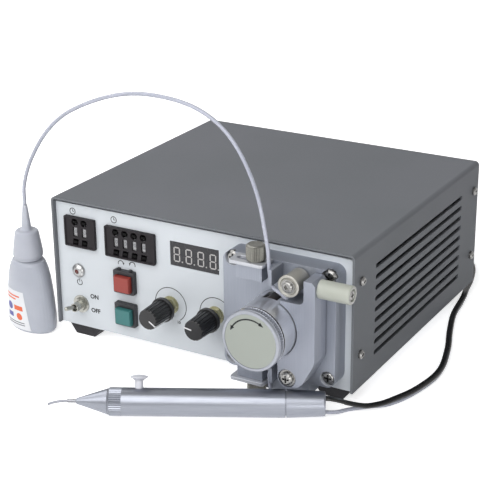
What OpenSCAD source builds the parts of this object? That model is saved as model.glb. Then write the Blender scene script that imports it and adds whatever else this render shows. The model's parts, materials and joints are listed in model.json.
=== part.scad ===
// Glue dispensing machine: sheet metal case, front panel controls, roller pump head,
// finger pen with its cord, fluid bottle and fluid tube.
// Millimetres. X to the right seen from the front, front faces -Y, Z up.
// Origin on the bench under the centre of the case.

/* [Case] */
// Width of the case over the cover
case_w = 220; // [180:1:260]
// Depth of the case over the cover
case_d = 200; // [170:1:240]
// Height of the cover, without the feet
case_h = 90; // [84:1:120]
// Height of the feet
foot_h = 9; // [6:0.5:15]
// Thickness of the cover sheet
cover_t = 1.5; // [1:0.1:2]
// Outer bend radius of the cover
bend_r = 3; // [2:0.5:6]
// How far both panels stand back inside the cover
panel_recess = 3; // [1:0.5:6]
// Thickness of both panels
panel_t = 2.5; // [2:0.1:4]
// Number of vent slots on each side
vent_count = 9; // [4:1:10]
// Length of a vent slot
vent_len = 140; // [60:5:160]
// Height of a vent slot
vent_h = 3.2; // [1.5:0.1:4]
// Distance from slot to slot
vent_pitch = 7.25; // [5:0.25:9]
// Height of the lowest vent slot above the bench
vent_z = 24; // [18:0.5:30]

/* [Feet] */
// Distance of the foot centres from the middle of the case
foot_x = 93; // [70:1:95]
// Distance of the foot centres from the middle, front to back
foot_y = 83; // [60:1:88]
// Width of a foot on the bench
foot_w = 15; // [10:1:20]
// Width of a foot at the case
foot_top_w = 28; // [18:1:32]
// Depth of a foot
foot_d = 20; // [12:1:26]

/* [Pushwheels] */
// Distance from digit to digit
digit_pitch = 7.1; // [6.5:0.1:8]
// Middle of the two digit switch
pair_x = -88.85; // [-92:0.05:-86]
// Height of the middle of the two digit switch
pair_z = 76.8; // [70:0.1:80]
// Middle of the four digit switch
four_x = -49.7; // [-54:0.1:-46]
// Height of the middle of the four digit switch
four_z = 75.4; // [70:0.1:80]
// Radius of a digit wheel
wheel_r = 8.6; // [7:0.1:9]

/* [Panel parts] */
// Middle of the display, left to right
display_x = -2.1; // [-6:0.1:2]
// Middle of the display, height
display_z = 75.5; // [70:0.5:80]
// Width of the display window
display_w = 35.8; // [30:0.1:40]
// Height of the display window
display_h = 16.5; // [14:0.1:20]
// Place of the power lamp, left to right
lamp_x = -92.4; // [-98:0.1:-88]
// Height of the power lamp
lamp_z = 49; // [44:0.5:54]
// Place of the toggle switch, left to right
toggle_x = -91.9; // [-98:0.1:-88]
// Height of the toggle switch
toggle_z = 25; // [20:0.5:30]
// Tilt of the toggle lever to each side
toggle_tilt = 14; // [8:1:16]
// Place of both push buttons, left to right
button_x = -54.6; // [-60:0.1:-50]
// Height of the red button
red_z = 49; // [44:0.5:54]
// Height of the green button
green_z = 26; // [20:0.5:32]
// Width of a push button housing
button_w = 16; // [14:0.1:20]
// Height of a push button housing
button_h = 16; // [14:0.1:20]
// Width of a button cap
cap_w = 11.8; // [10:0.1:12.4]
// Height of a button cap
cap_h = 10.8; // [9:0.1:11.5]
// Travel of a button cap
cap_travel = 2; // [1:0.1:2.5]
// Place of the left knob, left to right
knob1_x = -20.8; // [-26:0.1:-18]
// Place of the right knob, left to right
knob2_x = 12.8; // [8:0.1:14]
// Height of both knobs
knob_z = 39.4; // [34:0.1:46]
// Diameter of a knob at its skirt
knob_d = 16.5; // [14:0.1:20]
// Length of a knob
knob_len = 18.8; // [14:0.1:22]

/* [Pump head] */
// Axis of the rotor, left to right
rotor_x = 66.4; // [60:0.1:70]
// Axis of the rotor, height
rotor_z = 54.2; // [50:0.1:58]
// Width of the pump plate
plate_w = 76.2; // [74:0.1:80]
// Height of the pump plate
plate_h = 76.1; // [74:0.1:80]
// Left edge of the pump plate
plate_x = 27; // [24:0.5:28]
// Lower edge of the pump plate
plate_z = 15.4; // [14:0.1:17]
// Thickness of the pump plate
plate_t = 13.5; // [10:0.5:16]
// Radius of the rotor drum
drum_r = 18.8; // [16:0.1:19]
// Length of the rotor drum
drum_len = 28.5; // [24:0.5:32]
// Radius of a roller
roller_r = 4; // [3:0.1:4.5]
// Number of rollers in the drum
roller_count = 3; // [3:1:3]
// Radius of the hand knob on the rotor
hand_r = 19; // [18:0.1:22]
// Thickness of the hand knob
hand_t = 8; // [6:0.5:12]
// Diameter of the rotor shaft
shaft_d = 5; // [4:0.5:8]
// Thickness of the pressure arm
arm_t = 15; // [12:0.5:16]
// Pivot of the arm, left to right
pivot_x = 79; // [78:0.1:80]
// Pivot of the arm, height
pivot_z = 24; // [23:0.1:25]
// Diameter of the arm handle
handle_d = 11.4; // [10:0.5:14]
// Length of the arm handle
handle_len = 20.3; // [12:0.5:26]
// Thumb screw head diameter
thumb_d = 11.8; // [10:0.1:14]
// Thumb screw head height
thumb_h = 10; // [7:0.5:10]
// Slide of a clamp plate to the left
slide_open = 4; // [1:0.5:4]

/* [Pen] */
// Outer diameter of the pen
pen_d = 17.2; // [14:0.1:19]
// Length of the pen's main barrel
barrel_len = 106.5; // [90:0.5:110]
// Length of the pen's rear section
rear_len = 24; // [16:0.5:24]
// Length of the pen's nose cone
nose_len = 19.2; // [14:0.1:24]
// Distance of the button from the front end of the barrel
pen_button_at = 18.7; // [15:0.1:30]
// Diameter of the pen button
pen_button_d = 11.3; // [9:0.1:13]
// Roll of the pen, which leans its button back
pen_roll = 20; // [0:1:30]

/* [Bottle] */
// Place of the bottle, left to right
bottle_x = -133.2; // [-150:0.1:-131]
// Place of the bottle, front to back
bottle_y = -98.5; // [-110:0.5:-80]
// Long half width of the bottle
bottle_a = 20; // [17:0.1:21]
// Short half width of the bottle
bottle_b = 12.8; // [11:0.1:14]
// Height of the bottle body
bottle_h = 52; // [44:1:60]
// Height of the bottle cap without its nozzle
bottle_cap_h = 20; // [16:0.5:24]

/* [Cords] */
// Diameter of the fluid tube
tube_d = 2.4; // [2:0.1:3]
// Width of the flat pen cord
cord_w = 4.4; // [3:0.1:5]
// Thickness of the flat pen cord
cord_t = 2.2; // [1.6:0.1:2.6]
// Mean radius of the stored coil of the pen cord
coil_r = 24; // [20:0.5:30]

/* [Part to build] */
// Name of one node, or all

/* [Hidden] */
$fn = 48;
e = 0.5;
play = 0.3;           // clear space round a loose piece
fit = 0.05;           // clear space of a running fit, each side
steel = [0.62, 0.63, 0.65];
alu = [0.72, 0.73, 0.76];
chrome = [0.8, 0.8, 0.82];
black = [0.1, 0.1, 0.11];
cover_grey = [0.36, 0.37, 0.38];
panel_white = [0.84, 0.85, 0.88];
brass = [0.75, 0.62, 0.3];
nylon = [0.88, 0.89, 0.82];

half_w = case_w / 2;
half_d = case_d / 2;
top_z = foot_h + case_h;
in_w = half_w - cover_t;             // inside of the cover's side
panel_y = -half_d + panel_recess;    // front plane of the front panel
panel_back = panel_y + panel_t;
rear_y = half_d - panel_recess;      // outer plane of the rear panel
rear_in = rear_y - panel_t;
panel_top = top_z - cover_t - 2.2;       // the dark gap under the cover stays open
sheet_t = 1.5;
leaf_w = 12;                         // width of the chassis uprights
screw_z = [32, 80];
screw_y = [-half_d + 9.5, half_d - 9];   // front and rear screws of the cover's sides
plate_y = panel_y - plate_t;         // front plane of the pump plate
drum_gap = 0.5;
drum_y = plate_y - drum_gap;
hand_y = drum_y - drum_len;
roller_at = drum_r + 0.4 - roller_r; // distance of the roller axes from the rotor axis
roller_len = 9.4;
roller_mid = 8.2;                    // distance of the rollers' middle from the drum's rear face
arm_y = plate_y - drum_gap;          // rear face of the arm
tube_y = plate_y - 8.5;              // plane of the fluid tube in the pump
track_mid = 20.8;                    // radius of the tube's middle line round the rotor
track_r = track_mid + tube_d / 2 + play; // arm's inner track, which holds the tube
lip_r = drum_r + 0.45;               // arm's front lip round the drum
clamp_x = 42;
clamp_w = 17.5;
clamp_front = plate_y - 10.5;
wall_x = 66;
wall_t = 2.3;
upper_z = 80;                        // lower face of the upper clamp block
block_h = 9.7;
lower_z = 24.7;                      // upper face of the lower clamp block
thumb_x = 53.3;
thumb_y = plate_y - 6.3;
stud_d = 4;
slide_t = 2.2;
slide_x = 38;
slide_w = 23.5;
slide_front = 13.5;
post_x = 80;
post_z = 83.8;
post_d = 12.6;
pen_r = pen_d / 2;
pen_at = [-15.1, -177.4];
pen_turn = 27.3;
rear_d = 14.9;
neck_r = 7.4;
neck_h = 9;
cap_z = bottle_h - 1;
nozzle_h = 17.6;
bottle_turn = -10;

// A place on the front: local X is right, local Y is up, local Z comes forward
module front(x, z, y = panel_y) {
    translate([x, y, z]) rotate([90, 0, 0]) children();
}

module back(x, z, y = rear_y) {
    translate([x, y, z]) rotate([-90, 0, 0]) children();
}

module box(x, y, z) {
    translate([x[0], y[0], z[0]]) cube([x[1] - x[0], y[1] - y[0], z[1] - z[0]]);
}

// Flat shape with round corners, centred
module round_rect(w, h, r) {
    square([w - 2 * r, h], center = true);
    square([w, h - 2 * r], center = true);
    for (i = [-1, 1], k = [-1, 1])
        translate([i * (w / 2 - r), k * (h / 2 - r)]) circle(r);
}

// Slot shape along X between two end centres
module slot(from, to, d) {
    translate([from, -d / 2]) square([to - from, d]);
    translate([from, 0]) circle(d = d);
    translate([to, 0]) circle(d = d);
}

// Pan head screw: the head sits on local Z = 0 and the shank goes down
module pan_screw(head_d, head_h, shank_d, len) {
    difference() {
        union() {
            cylinder(h = head_h * 0.6, d = head_d);
            translate([0, 0, head_h * 0.6]) cylinder(h = head_h * 0.4, d1 = head_d, d2 = head_d * 0.72);
            translate([0, 0, -len]) cylinder(h = len + 0.01, d = shank_d);
        }
        for (a = [0, 90])
            rotate([0, 0, a])
                translate([-head_d * 0.28, -head_d * 0.07, head_h * 0.45])
                    cube([head_d * 0.56, head_d * 0.14, head_h]);
    }
}

// Round piece with fine straight knurls
module knurled(r, h, teeth, depth) {
    linear_extrude(height = h)
        polygon([for (i = [0:2 * teeth - 1])
            (r - (i % 2) * depth) * [cos(i * 180 / teeth), sin(i * 180 / teeth)]]);
}

// Case

module cover_shape(o) {
    w = half_w - o;
    r = max(bend_r - o, 0.5);
    translate([-w, foot_h]) square([2 * w, case_h - o - r]);
    translate([-w + r, foot_h]) square([2 * (w - r), case_h - o]);
    for (i = [-1, 1])
        translate([i * (w - r), top_z - o - r]) circle(r);
}

module top_cover() {
    color(cover_grey)
    difference() {
        translate([0, half_d, 0]) rotate([90, 0, 0]) linear_extrude(height = case_d) cover_shape(0);
        translate([0, half_d + 1, 0]) rotate([90, 0, 0])
            linear_extrude(height = case_d + 2) {
                cover_shape(cover_t);
                translate([-in_w, foot_h - 1]) square([2 * in_w, 3]);
            }
        for (i = [-1, 1]) {
            for (k = [0:vent_count - 1])
                translate([i * (half_w - cover_t - 1), 0, vent_z + k * vent_pitch])
                    rotate([0, 90 * i, 0]) rotate([0, 0, 90])
                        linear_extrude(height = cover_t + 2)
                            slot(-vent_len / 2 + vent_h / 2, vent_len / 2 - vent_h / 2, vent_h);
            for (y = screw_y, z = screw_z)
                translate([i * (half_w - cover_t - 1), y, z]) rotate([0, 90 * i, 0])
                    cylinder(h = cover_t + 2, d = 3.4);
        }
    }
}

module chassis() {
    color(steel)
    difference() {
        union() {
            box([-in_w, in_w], [panel_back, rear_in], [foot_h, foot_h + sheet_t]);
            for (i = [-1, 1]) {
                s = i < 0 ? [-in_w, -in_w + sheet_t] : [in_w - sheet_t, in_w];
                box(s, [panel_back, rear_in], [foot_h, foot_h + 10]);
                box(s, [panel_back, panel_back + leaf_w], [foot_h, 90]);
                box(s, [rear_in - leaf_w, rear_in], [foot_h, 90]);
                box(i < 0 ? [-in_w, -in_w + 6] : [in_w - 6, in_w],
                    [panel_back, panel_back + sheet_t], [foot_h, 90]);
                box(i < 0 ? [-in_w, -in_w + leaf_w] : [in_w - leaf_w, in_w],
                    [rear_in - sheet_t, rear_in], [foot_h, 90]);
            }
        }
        for (i = [-1, 1], y = screw_y, z = screw_z)
            translate([i * (in_w - sheet_t - 1), y, z]) rotate([0, 90 * i, 0])
                cylinder(h = sheet_t + 2, d = 3 + 2 * fit);
        for (i = [-1, 1], z = screw_z)
            translate([i * (in_w - 8), rear_in - sheet_t - 1, z]) rotate([-90, 0, 0])
                cylinder(h = sheet_t + 2, d = 3 + 2 * fit);
        for (i = [-1, 1], k = [-1, 1])
            translate([i * foot_x, k * foot_y, foot_h - 1]) cylinder(h = sheet_t + 2, d = 4 + 2 * fit);
    }
}

module case_screws() {
    color(chrome) {
        for (i = [-1, 1], y = screw_y, z = screw_z)
            translate([i * half_w, y, z]) rotate([0, 90 * i, 0]) pan_screw(5.6, 2.2, 3, 6);
        for (i = [-1, 1], z = screw_z)
            translate([i * (in_w - 8), rear_y, z]) rotate([-90, 0, 0]) pan_screw(5.6, 2.2, 3, 6);
    }
}

module rubber_feet() {
    color(black)
    for (i = [-1, 1], k = [-1, 1])
        translate([i * foot_x, k * foot_y + foot_d / 2, 0]) {
            difference() {
                rotate([90, 0, 0])
                    linear_extrude(height = foot_d)
                        polygon([[-foot_w / 2, 0], [foot_w / 2, 0],
                            [foot_top_w / 2, foot_h], [-foot_top_w / 2, foot_h]]);
                translate([0, -foot_d / 2, -1]) cylinder(h = 5, d = 8);
            }
            translate([0, -foot_d / 2, foot_h - 1]) cylinder(h = sheet_t + 4, d = 4);
        }
}

module front_panel() {
    color(panel_white)
    difference() {
        box([-in_w + 0.2, in_w - 0.2], [panel_y, panel_back], [foot_h, panel_top]);
        front(pair_x, pair_z, panel_back + 1) linear_extrude(height = 5)
            square([frame_body_w(2) + 0.2, frame_body_h + 0.2], center = true);
        front(four_x, four_z, panel_back + 1) linear_extrude(height = 5)
            square([frame_body_w(4) + 0.2, frame_body_h + 0.2], center = true);
        front(display_x, display_z, panel_back + 1) linear_extrude(height = 5)
            square([display_w, display_h], center = true);
        front(lamp_x, lamp_z, panel_back + 1) cylinder(h = 5, d = 8.2);
        front(toggle_x, toggle_z, panel_back + 1) cylinder(h = 5, d = 6.2);
        for (z = [red_z, green_z])
            front(button_x, z, panel_back + 1) linear_extrude(height = 5)
                square([button_body_w + 0.2, button_body_h + 0.2], center = true);
        for (x = [knob1_x, knob2_x])
            front(x, knob_z, panel_back + 1) cylinder(h = 5, d = 7.2);
        front(rotor_x, rotor_z, panel_back + 1) cylinder(h = 5, d = pilot_d + 0.4);
        for (p = plate_screws)
            front(p[0], p[1], panel_back + 1) cylinder(h = 5, d = 4.1);
    }
}

module rear_panel() {
    color(steel)
    difference() {
        box([-in_w + 0.2, in_w - 0.2], [rear_in, rear_y], [foot_h, panel_top]);
        for (i = [-1, 1], z = screw_z)
            translate([i * (in_w - 8), rear_in - 1, z]) rotate([-90, 0, 0]) cylinder(h = 5, d = 3.4);
        back(inlet_x, inlet_z, rear_in - 1) linear_extrude(height = 5)
            square([27.4, 20.4], center = true);
        back(socket_x, socket_z, rear_in - 1) cylinder(h = 5, d = 14.4);
    }
}

inlet_x = -62;
inlet_z = 50;
socket_x = 0;
socket_z = 30;
socket_d = 14;

// Mains inlet with its flange and three pins, and the round socket of the pen
module rear_sockets() {
    color(black) {
        difference() {
            union() {
                back(inlet_x, inlet_z) linear_extrude(height = 3) round_rect(50, 23, 5);
                back(inlet_x, inlet_z, rear_in - 16) linear_extrude(height = 18.6)
                    square([27, 20], center = true);
            }
            back(inlet_x, inlet_z, rear_in - 12) linear_extrude(height = 20)
                difference() {
                    square([24, 17], center = true);
                    for (i = [-1, 1])
                        translate([i * 12, 8.5]) rotate([0, 0, 45]) square([5, 5], center = true);
                }
            for (i = [-1, 1])
                back(inlet_x + i * 20, inlet_z, rear_y - 1) cylinder(h = 6, d = 3.2);
        }
        for (i = [-1, 0, 1])
            back(inlet_x + i * 7, inlet_z + (i == 0 ? -2 : 2), rear_in - 12.5)
                linear_extrude(height = 11) square([2, 4], center = true);
    }
    color(chrome)
    difference() {
        union() {
            back(socket_x, socket_z) cylinder(h = 1.6, d = 18);
            back(socket_x, socket_z, rear_in - 14) cylinder(h = 16.6, d = socket_d);
        }
        back(socket_x, socket_z, rear_in - 10) cylinder(h = 20, d = 10);
    }
}

board_z = foot_h + sheet_t + 8;

// Control board on four standoffs, with its parts and the mains transformer
module control_board() {
    color([0.1, 0.4, 0.2]) {
        box([-70, 40], [-40, 50], [board_z, board_z + 1.6]);
        for (x = [-66, 36], y = [-36, 46])
            translate([x, y, foot_h + sheet_t]) cylinder(h = 8 + e, d = 6);
        for (k = [0:2])
            box([-60 + 26 * k, -46 + 26 * k], [-25, -5], [board_z + 1.5, board_z + 5]);
        for (k = [0:1])
            translate([10 + 16 * k, 30, board_z + 1]) cylinder(h = 22, d = 12);
    }
    color(steel) {
        box([-62, -18], [4, 42], [board_z + 1.6, board_z + 36]);
        box([-56, -24], [-1, 4], [board_z + 7, board_z + 30]);
        box([-56, -24], [42, 47], [board_z + 7, board_z + 30]);
    }
}

// Panel parts

// Display block behind the window, with a flange that bears on the back of the panel
module display_module() {
    color([0.25, 0.26, 0.28]) {
        front(display_x, display_z, panel_back + 8) linear_extrude(height = panel_t + 8.2)
            square([display_w - 0.3, display_h - 0.3], center = true);
        front(display_x, display_z, panel_back + 8) linear_extrude(height = 8)
            square([display_w + 10, display_h + 6], center = true);
    }
}

frame_body_h = 19.6;
frame_rim_h = 20.9;
frame_rim_t = 2.5;
face_deep = 0.5;                     // the face lies this deep inside the frame's rim
face_y = panel_y - frame_rim_t + face_deep;
wheel_w = 3;
wheel_y = face_y + 0.6 + wheel_r;
pocket_half = 9.3;
pin_d = 2;

function frame_body_w(n) = (n - 1) * digit_pitch + 12.5;
function frame_rim_w(n) = (n - 1) * digit_pitch + 16.9;
function digit_at(n, k) = (k - (n - 1) / 2) * digit_pitch;

// Pushwheel frame with one pocket for each digit and the wheels' common pin
module pushwheel_frame(n, x, z) {
    translate([x, 0, z]) {
        difference() {
            union() {
                front(0, 0, panel_y) linear_extrude(height = frame_rim_t)
                    round_rect(frame_rim_w(n), frame_rim_h, 0.8);
                front(0, 0, wheel_y + pocket_half + 1.5)
                    linear_extrude(height = wheel_y + pocket_half + 1.5 - panel_y)
                        square([frame_body_w(n), frame_body_h], center = true);
            }
            for (k = [0:n - 1])
                translate([digit_at(n, k), 0, 0]) {
                    box([-2, 3.1], [face_y + 0.8, wheel_y + pocket_half], [-pocket_half, pocket_half]);
                    front(0, 0, face_y + 2) linear_extrude(height = 4) {
                        square([wheel_w + 0.4, 6.4], center = true);
                        translate([0, 6.8]) circle(d = 5);
                        polygon([[-2.4, -9.2], [1.9, -9.2], [2.7, -4.7], [-1.7, -4.7]]);
                    }
                }
            front(0, 0, face_y) linear_extrude(height = 2)
                round_rect(frame_rim_w(n) - 2.2, frame_rim_h - 2.2, 0.6);
        }
        translate([-frame_body_w(n) / 2 + 0.5, wheel_y, 0]) rotate([0, 90, 0])
            cylinder(h = frame_body_w(n) - 1, d = pin_d);
    }
}

module pushwheel_frames() {
    color(black) {
        pushwheel_frame(2, pair_x, pair_z);
        pushwheel_frame(4, four_x, four_z);
    }
}

// Digits 1 and 2 are in the two digit switch, 3 to 6 in the four digit switch
function digit_x(i) = i < 3 ? pair_x + digit_at(2, i - 1) : four_x + digit_at(4, i - 3);
function digit_z(i) = i < 3 ? pair_z : four_z;

module digit_wheel(i) {
    color([0.75, 0.76, 0.78])
    translate([digit_x(i) - wheel_w / 2, wheel_y, digit_z(i)]) rotate([0, 90, 0])
        difference() {
            rotate([0, 0, 18]) cylinder(h = wheel_w, r = wheel_r, $fn = 10);
            translate([0, 0, -1]) cylinder(h = wheel_w + 2, d = pin_d + 2 * fit);
        }
}

// Rocker key: a plus pad above the window and a minus pad below it, joined beside the wheel
module digit_key(i) {
    key_front = face_y;
    pad_back = key_front + 2.1;
    color(black)
    translate([digit_x(i), 0, digit_z(i)])
        difference() {
            union() {
                for (s = [-1, 1]) {
                    z = s > 0 ? [6.1, 7.7] : [-7.7, -6.1];
                    box([-1.5, 1.5], [key_front, pad_back], z);
                    box([1.2, 2.7], [pad_back - 0.3, pad_back + 0.3], z);
                    box([2.05, 2.7], [pad_back - 0.3, wheel_y], z);
                }
                box([2.05, 2.7], [wheel_y - 2.4, wheel_y + 2.4], [-7.7, 7.7]);
            }
            translate([1, wheel_y, 0]) rotate([0, 90, 0]) cylinder(h = 3, d = pin_d + 2 * fit);
        }
}

// Lamp: chrome bezel with a sleeve and nut, and the small lens in it
module power_led() {
    color(chrome)
    front(lamp_x, lamp_z)
        difference() {
            rotate_extrude()
                polygon([[1.8, -8], [4, -8], [4, 0], [4.9, 0], [4.9, 0.8], [4.6, 1.7],
                    [3.9, 2.6], [3, 3.2], [1.8, 3.5]]);
            translate([0, 0, 2.9]) cylinder(h = 1, d1 = 3.6, d2 = 4.8);
        }
    color([0.7, 0.1, 0.08])
    front(lamp_x, lamp_z) {
        translate([0, 0, -6]) cylinder(h = 8, r = 1.8);
        translate([0, 0, 2]) cylinder(h = 0.8, r1 = 1.6, r2 = 0.8);
    }
}

lever_y = panel_y - 6;               // pivot of the toggle lever
bush_d = 6;

module toggle_switch() {
    color(steel)
    front(toggle_x, toggle_z)
        difference() {
            union() {
                translate([0, 0, -panel_t - 12]) linear_extrude(height = 12)
                    square([13, 13], center = true);
                translate([0, 0, -panel_t - 1]) cylinder(h = panel_t + 9.5, d = bush_d);
                cylinder(h = 0.8, d = 12.2);
                translate([0, 0, 0.7]) cylinder(h = 2.3, d = 9.2, $fn = 6);
            }
            translate([0, 0, 2.5]) cylinder(h = 8, d = 4.8);
        }
}

module toggle_lever() {
    color(chrome)
    translate([toggle_x, lever_y, toggle_z]) rotate([90 - toggle_tilt, 0, 0]) {
        sphere(d = 4.1);
        rotate([0, 90, 0]) cylinder(h = 4.4, d = 1.6, center = true);
        cylinder(h = 11, d1 = 2.2, d2 = 3);
        translate([0, 0, 11]) sphere(d = 3);
    }
}

button_body_w = 15;
button_body_h = 14;
rim_out = 3.5;                       // how far a button housing stands out of the panel
cap_out = 1.6;                       // how far a cap stands out of its housing
cap_drop = 0.7;                      // how far a cap sits below the middle of its housing

module button_housing(z, lugs) {
    front(button_x, z)
        difference() {
            union() {
                linear_extrude(height = rim_out) round_rect(button_w, button_h, 1);
                translate([0, 0, -20]) linear_extrude(height = 20 + e)
                    square([button_body_w, button_body_h], center = true);
                if (lugs)
                    for (i = [-1, 1])
                        translate([i * 4.5, button_h / 2 - e, 0.6]) linear_extrude(height = 1.6)
                            translate([-1, 0]) square([2, 1.6]);
            }
            translate([0, -cap_drop, rim_out - 11]) linear_extrude(height = 12)
                square([cap_w + 2 * play, cap_h + 2 * play], center = true);
        }
}

module button_housings() {
    color(black) {
        button_housing(red_z, true);
        button_housing(green_z, false);
    }
}

// Button cap with a slightly smaller front edge
module button_cap(z) {
    front(button_x, z) {
        translate([0, -cap_drop, rim_out - 11 + play + cap_travel])
            linear_extrude(height = 10.4 + cap_out - play - cap_travel)
                square([cap_w, cap_h], center = true);
        translate([0, -cap_drop, rim_out + cap_out - 0.8]) linear_extrude(height = 0.8)
            round_rect(cap_w - 0.6, cap_h - 0.6, 0.8);
    }
}

module red_button() {
    color([0.72, 0.22, 0.18]) button_cap(red_z);
}

module green_button() {
    color([0.12, 0.5, 0.42]) button_cap(green_z);
}

pot_shaft_d = 6;
knob_gap = 8.5;                      // space between panel and knob, which shows the nut
bush_h = 6;                          // threaded bush in front of the panel
skirt_h = 2.4;

module potentiometer(x) {
    front(x, knob_z)
        difference() {
            union() {
                translate([0, 0, -panel_t - 9]) cylinder(h = 9, d = 16);
                translate([0, 0, -panel_t - 1]) cylinder(h = panel_t + 1 + bush_h, d = 7);
                cylinder(h = 0.7, d = 12);
                translate([0, 0, 0.6]) cylinder(h = 2.4, d = 11, $fn = 6);
            }
            translate([0, 0, -panel_t - 6]) cylinder(h = 24, d = pot_shaft_d + 2 * fit);
        }
}

module potentiometers() {
    color(brass) {
        potentiometer(knob1_x);
        potentiometer(knob2_x);
    }
}

// Fluted control knob with a skirt and a pointer groove, moulded on its potentiometer's shaft
module control_knob(x, point) {
    body_d = knob_d - 2;
    face_d = knob_d - 3;
    front(x, knob_z) {
        translate([0, 0, knob_gap]) difference() {
            union() {
                translate([0, 0, 0.3 + bush_h - knob_gap]) cylinder(h = knob_gap - bush_h, d = 9.4);
                cylinder(h = skirt_h - 0.5, d = knob_d);
                translate([0, 0, skirt_h - 0.5]) cylinder(h = 0.5, d1 = knob_d, d2 = knob_d - 0.8);
                translate([0, 0, skirt_h - 0.2]) cylinder(h = knob_len - skirt_h - 0.5,
                    d1 = body_d, d2 = face_d);
                translate([0, 0, knob_len - 0.7]) cylinder(h = 0.7, d1 = face_d, d2 = face_d - 1.2);
            }
            for (k = [0:17])
                rotate([0, 0, point + 10 + k * 20]) translate([body_d / 2 - 0.05, 0, skirt_h + 0.7])
                    rotate([0, -1.8, 0]) cylinder(h = knob_len, d = 1.2, $fn = 16);
            rotate([0, 0, point]) {
                translate([1.2, -0.5, knob_len - 0.4]) cube([knob_d, 1, 1]);
                translate([face_d / 2 - 0.35, -0.5, skirt_h + 1.2]) rotate([0, -1.8, 0])
                    cube([2, 1, knob_len]);
            }
        }
        translate([0, 0, -panel_t - 6 + play]) cylinder(h = panel_t + 6 + knob_gap, d = pot_shaft_d);
    }
}

module dispense_knob() {
    color(black) control_knob(knob1_x, -33);
}

module vacuum_knob() {
    color(black) control_knob(knob2_x, 171);
}

// Pump head

plate_screws = [for (x = [plate_x + 6.2, plate_x + plate_w - 5],
    z = [plate_z + 5.9, plate_z + plate_h - 4.5]) [x, z]];
bore_d = 9.6;                        // counterbore of the corner screws
bore_depth = 3.8;
pilot_d = 22;

module pump_plate() {
    color(alu)
    difference() {
        union() {
            front(plate_x + plate_w / 2, plate_z + plate_h / 2) linear_extrude(height = plate_t)
                round_rect(plate_w, plate_h, 6);
            front(65, 12) linear_extrude(height = plate_t) round_rect(42, 13, 2);
        }
        for (p = plate_screws) {
            front(p[0], p[1], plate_y + bore_depth) cylinder(h = bore_depth + 1, d = bore_d);
            front(p[0], p[1], panel_y + 1) cylinder(h = plate_t + 2, d = 4 + 2 * fit);
        }
        front(rotor_x, rotor_z, panel_y + 1) cylinder(h = plate_t + 2, d = shaft_d + 2 * fit);
        front(pivot_x, pivot_z, panel_y + 1) cylinder(h = plate_t + 2, d = pivot_d + 2 * fit);
        front(post_x, post_z, panel_y + 1) cylinder(h = plate_t + 2, d = 5);
    }
}

module pump_screws() {
    color(chrome) {
        for (p = plate_screws)
            front(p[0], p[1], plate_y + bore_depth) pan_screw(8.6, 3.2, 4, 16);
        front(post_x, post_z, plate_y - post_len)
            difference() {
                union() {
                    translate([0, 0, -post_dish]) cylinder(h = 0.8, d = 8.6);
                    translate([0, 0, 0.1]) cylinder(h = 1.1, d = 6.4);
                    translate([0, 0, 1.2]) cylinder(h = 0.5, d1 = 6.4, d2 = 5.2);
                    translate([0, 0, -post_len - 8]) cylinder(h = post_len + 8.1, d = 4);
                }
                translate([0, 0, 0.4]) cylinder(h = 4, d = 3.5, $fn = 6);
            }
    }
}

post_len = 16;
post_dish = 0.7;                     // depth of the dish in the post's front face
flange_d = post_d + 1.3;

// Guide post: undercut at the plate, plain body, flange with a dished front
module guide_post() {
    color(chrome)
    front(post_x, post_z, plate_y)
        difference() {
            union() {
                cylinder(h = 1, d = post_d - 1.6);
                translate([0, 0, 0.8]) cylinder(h = post_len - 3.4, d = post_d);
                translate([0, 0, post_len - 3]) cylinder(h = 1.2, d = post_d - 1);
                translate([0, 0, post_len - 2.2]) cylinder(h = 0.4, d1 = flange_d - 0.8, d2 = flange_d);
                translate([0, 0, post_len - 1.8]) cylinder(h = 1.4, d = flange_d);
                translate([0, 0, post_len - 0.4]) cylinder(h = 0.4, d1 = flange_d, d2 = flange_d - 0.8);
            }
            translate([0, 0, -1]) cylinder(h = post_len + 2, d = 4 + 2 * fit);
            translate([0, 0, post_len - post_dish]) cylinder(h = 1, d1 = 9.8, d2 = 11.4);
        }
}

module pump_motor() {
    color(steel)
    front(rotor_x, rotor_z)
        difference() {
            union() {
                translate([0, 0, -panel_t - 40]) linear_extrude(height = 40) round_rect(42.3, 42.3, 5);
                translate([0, 0, -panel_t - e]) cylinder(h = 2 + e, d = pilot_d);
            }
            translate([0, 0, -panel_t - 38]) cylinder(h = 50, d = shaft_d + 2 * fit);
        }
}

// One clamp: block under the slide plate, thin wall on the other side of the tube, back web
module clamp_block(z, up) {
    z0 = up > 0 ? z : z - block_h;
    difference() {
        union() {
            box([clamp_x, clamp_x + clamp_w], [clamp_front, plate_y], [z0, z0 + block_h]);
            box([wall_x, wall_x + wall_t], [plate_y - 14.5, plate_y],
                up > 0 ? [z + 1, z + 11] : [z0 + 2.4, z0 + 12.4]);
            box([clamp_x + clamp_w - 1, wall_x + 1], [plate_y - 3, plate_y],
                up > 0 ? [z + 1, z + block_h] : [z0 + 2.4, z0 + block_h]);
        }
        translate([thumb_x, thumb_y, z0 - 1]) cylinder(h = block_h + 2, d = stud_d + 2 * fit);
    }
}

module clamp_blocks() {
    color(alu) {
        clamp_block(upper_z, 1);
        clamp_block(lower_z, -1);
    }
}

// Slide plate with a long slot for the stud and a round nose that pinches the tube
module slide_plate(z) {
    translate([0, 0, z]) linear_extrude(height = slide_t)
        difference() {
            union() {
                translate([slide_x + 2, plate_y - slide_front]) square([slide_w - 4, slide_front - 0.1]);
                translate([slide_x, plate_y - slide_front + 2]) square([slide_w, slide_front - 2.1]);
                for (x = [slide_x + 2, slide_x + slide_w - 2])
                    translate([x, plate_y - slide_front + 2]) circle(2);
            }
            translate([0, thumb_y]) slot(slide_x + 5, thumb_x + slide_open, stud_d + 2 * play);
        }
}

upper_slide_z = upper_z + block_h + 0.1;
lower_slide_z = lower_z - block_h - 0.1 - slide_t;

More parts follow.
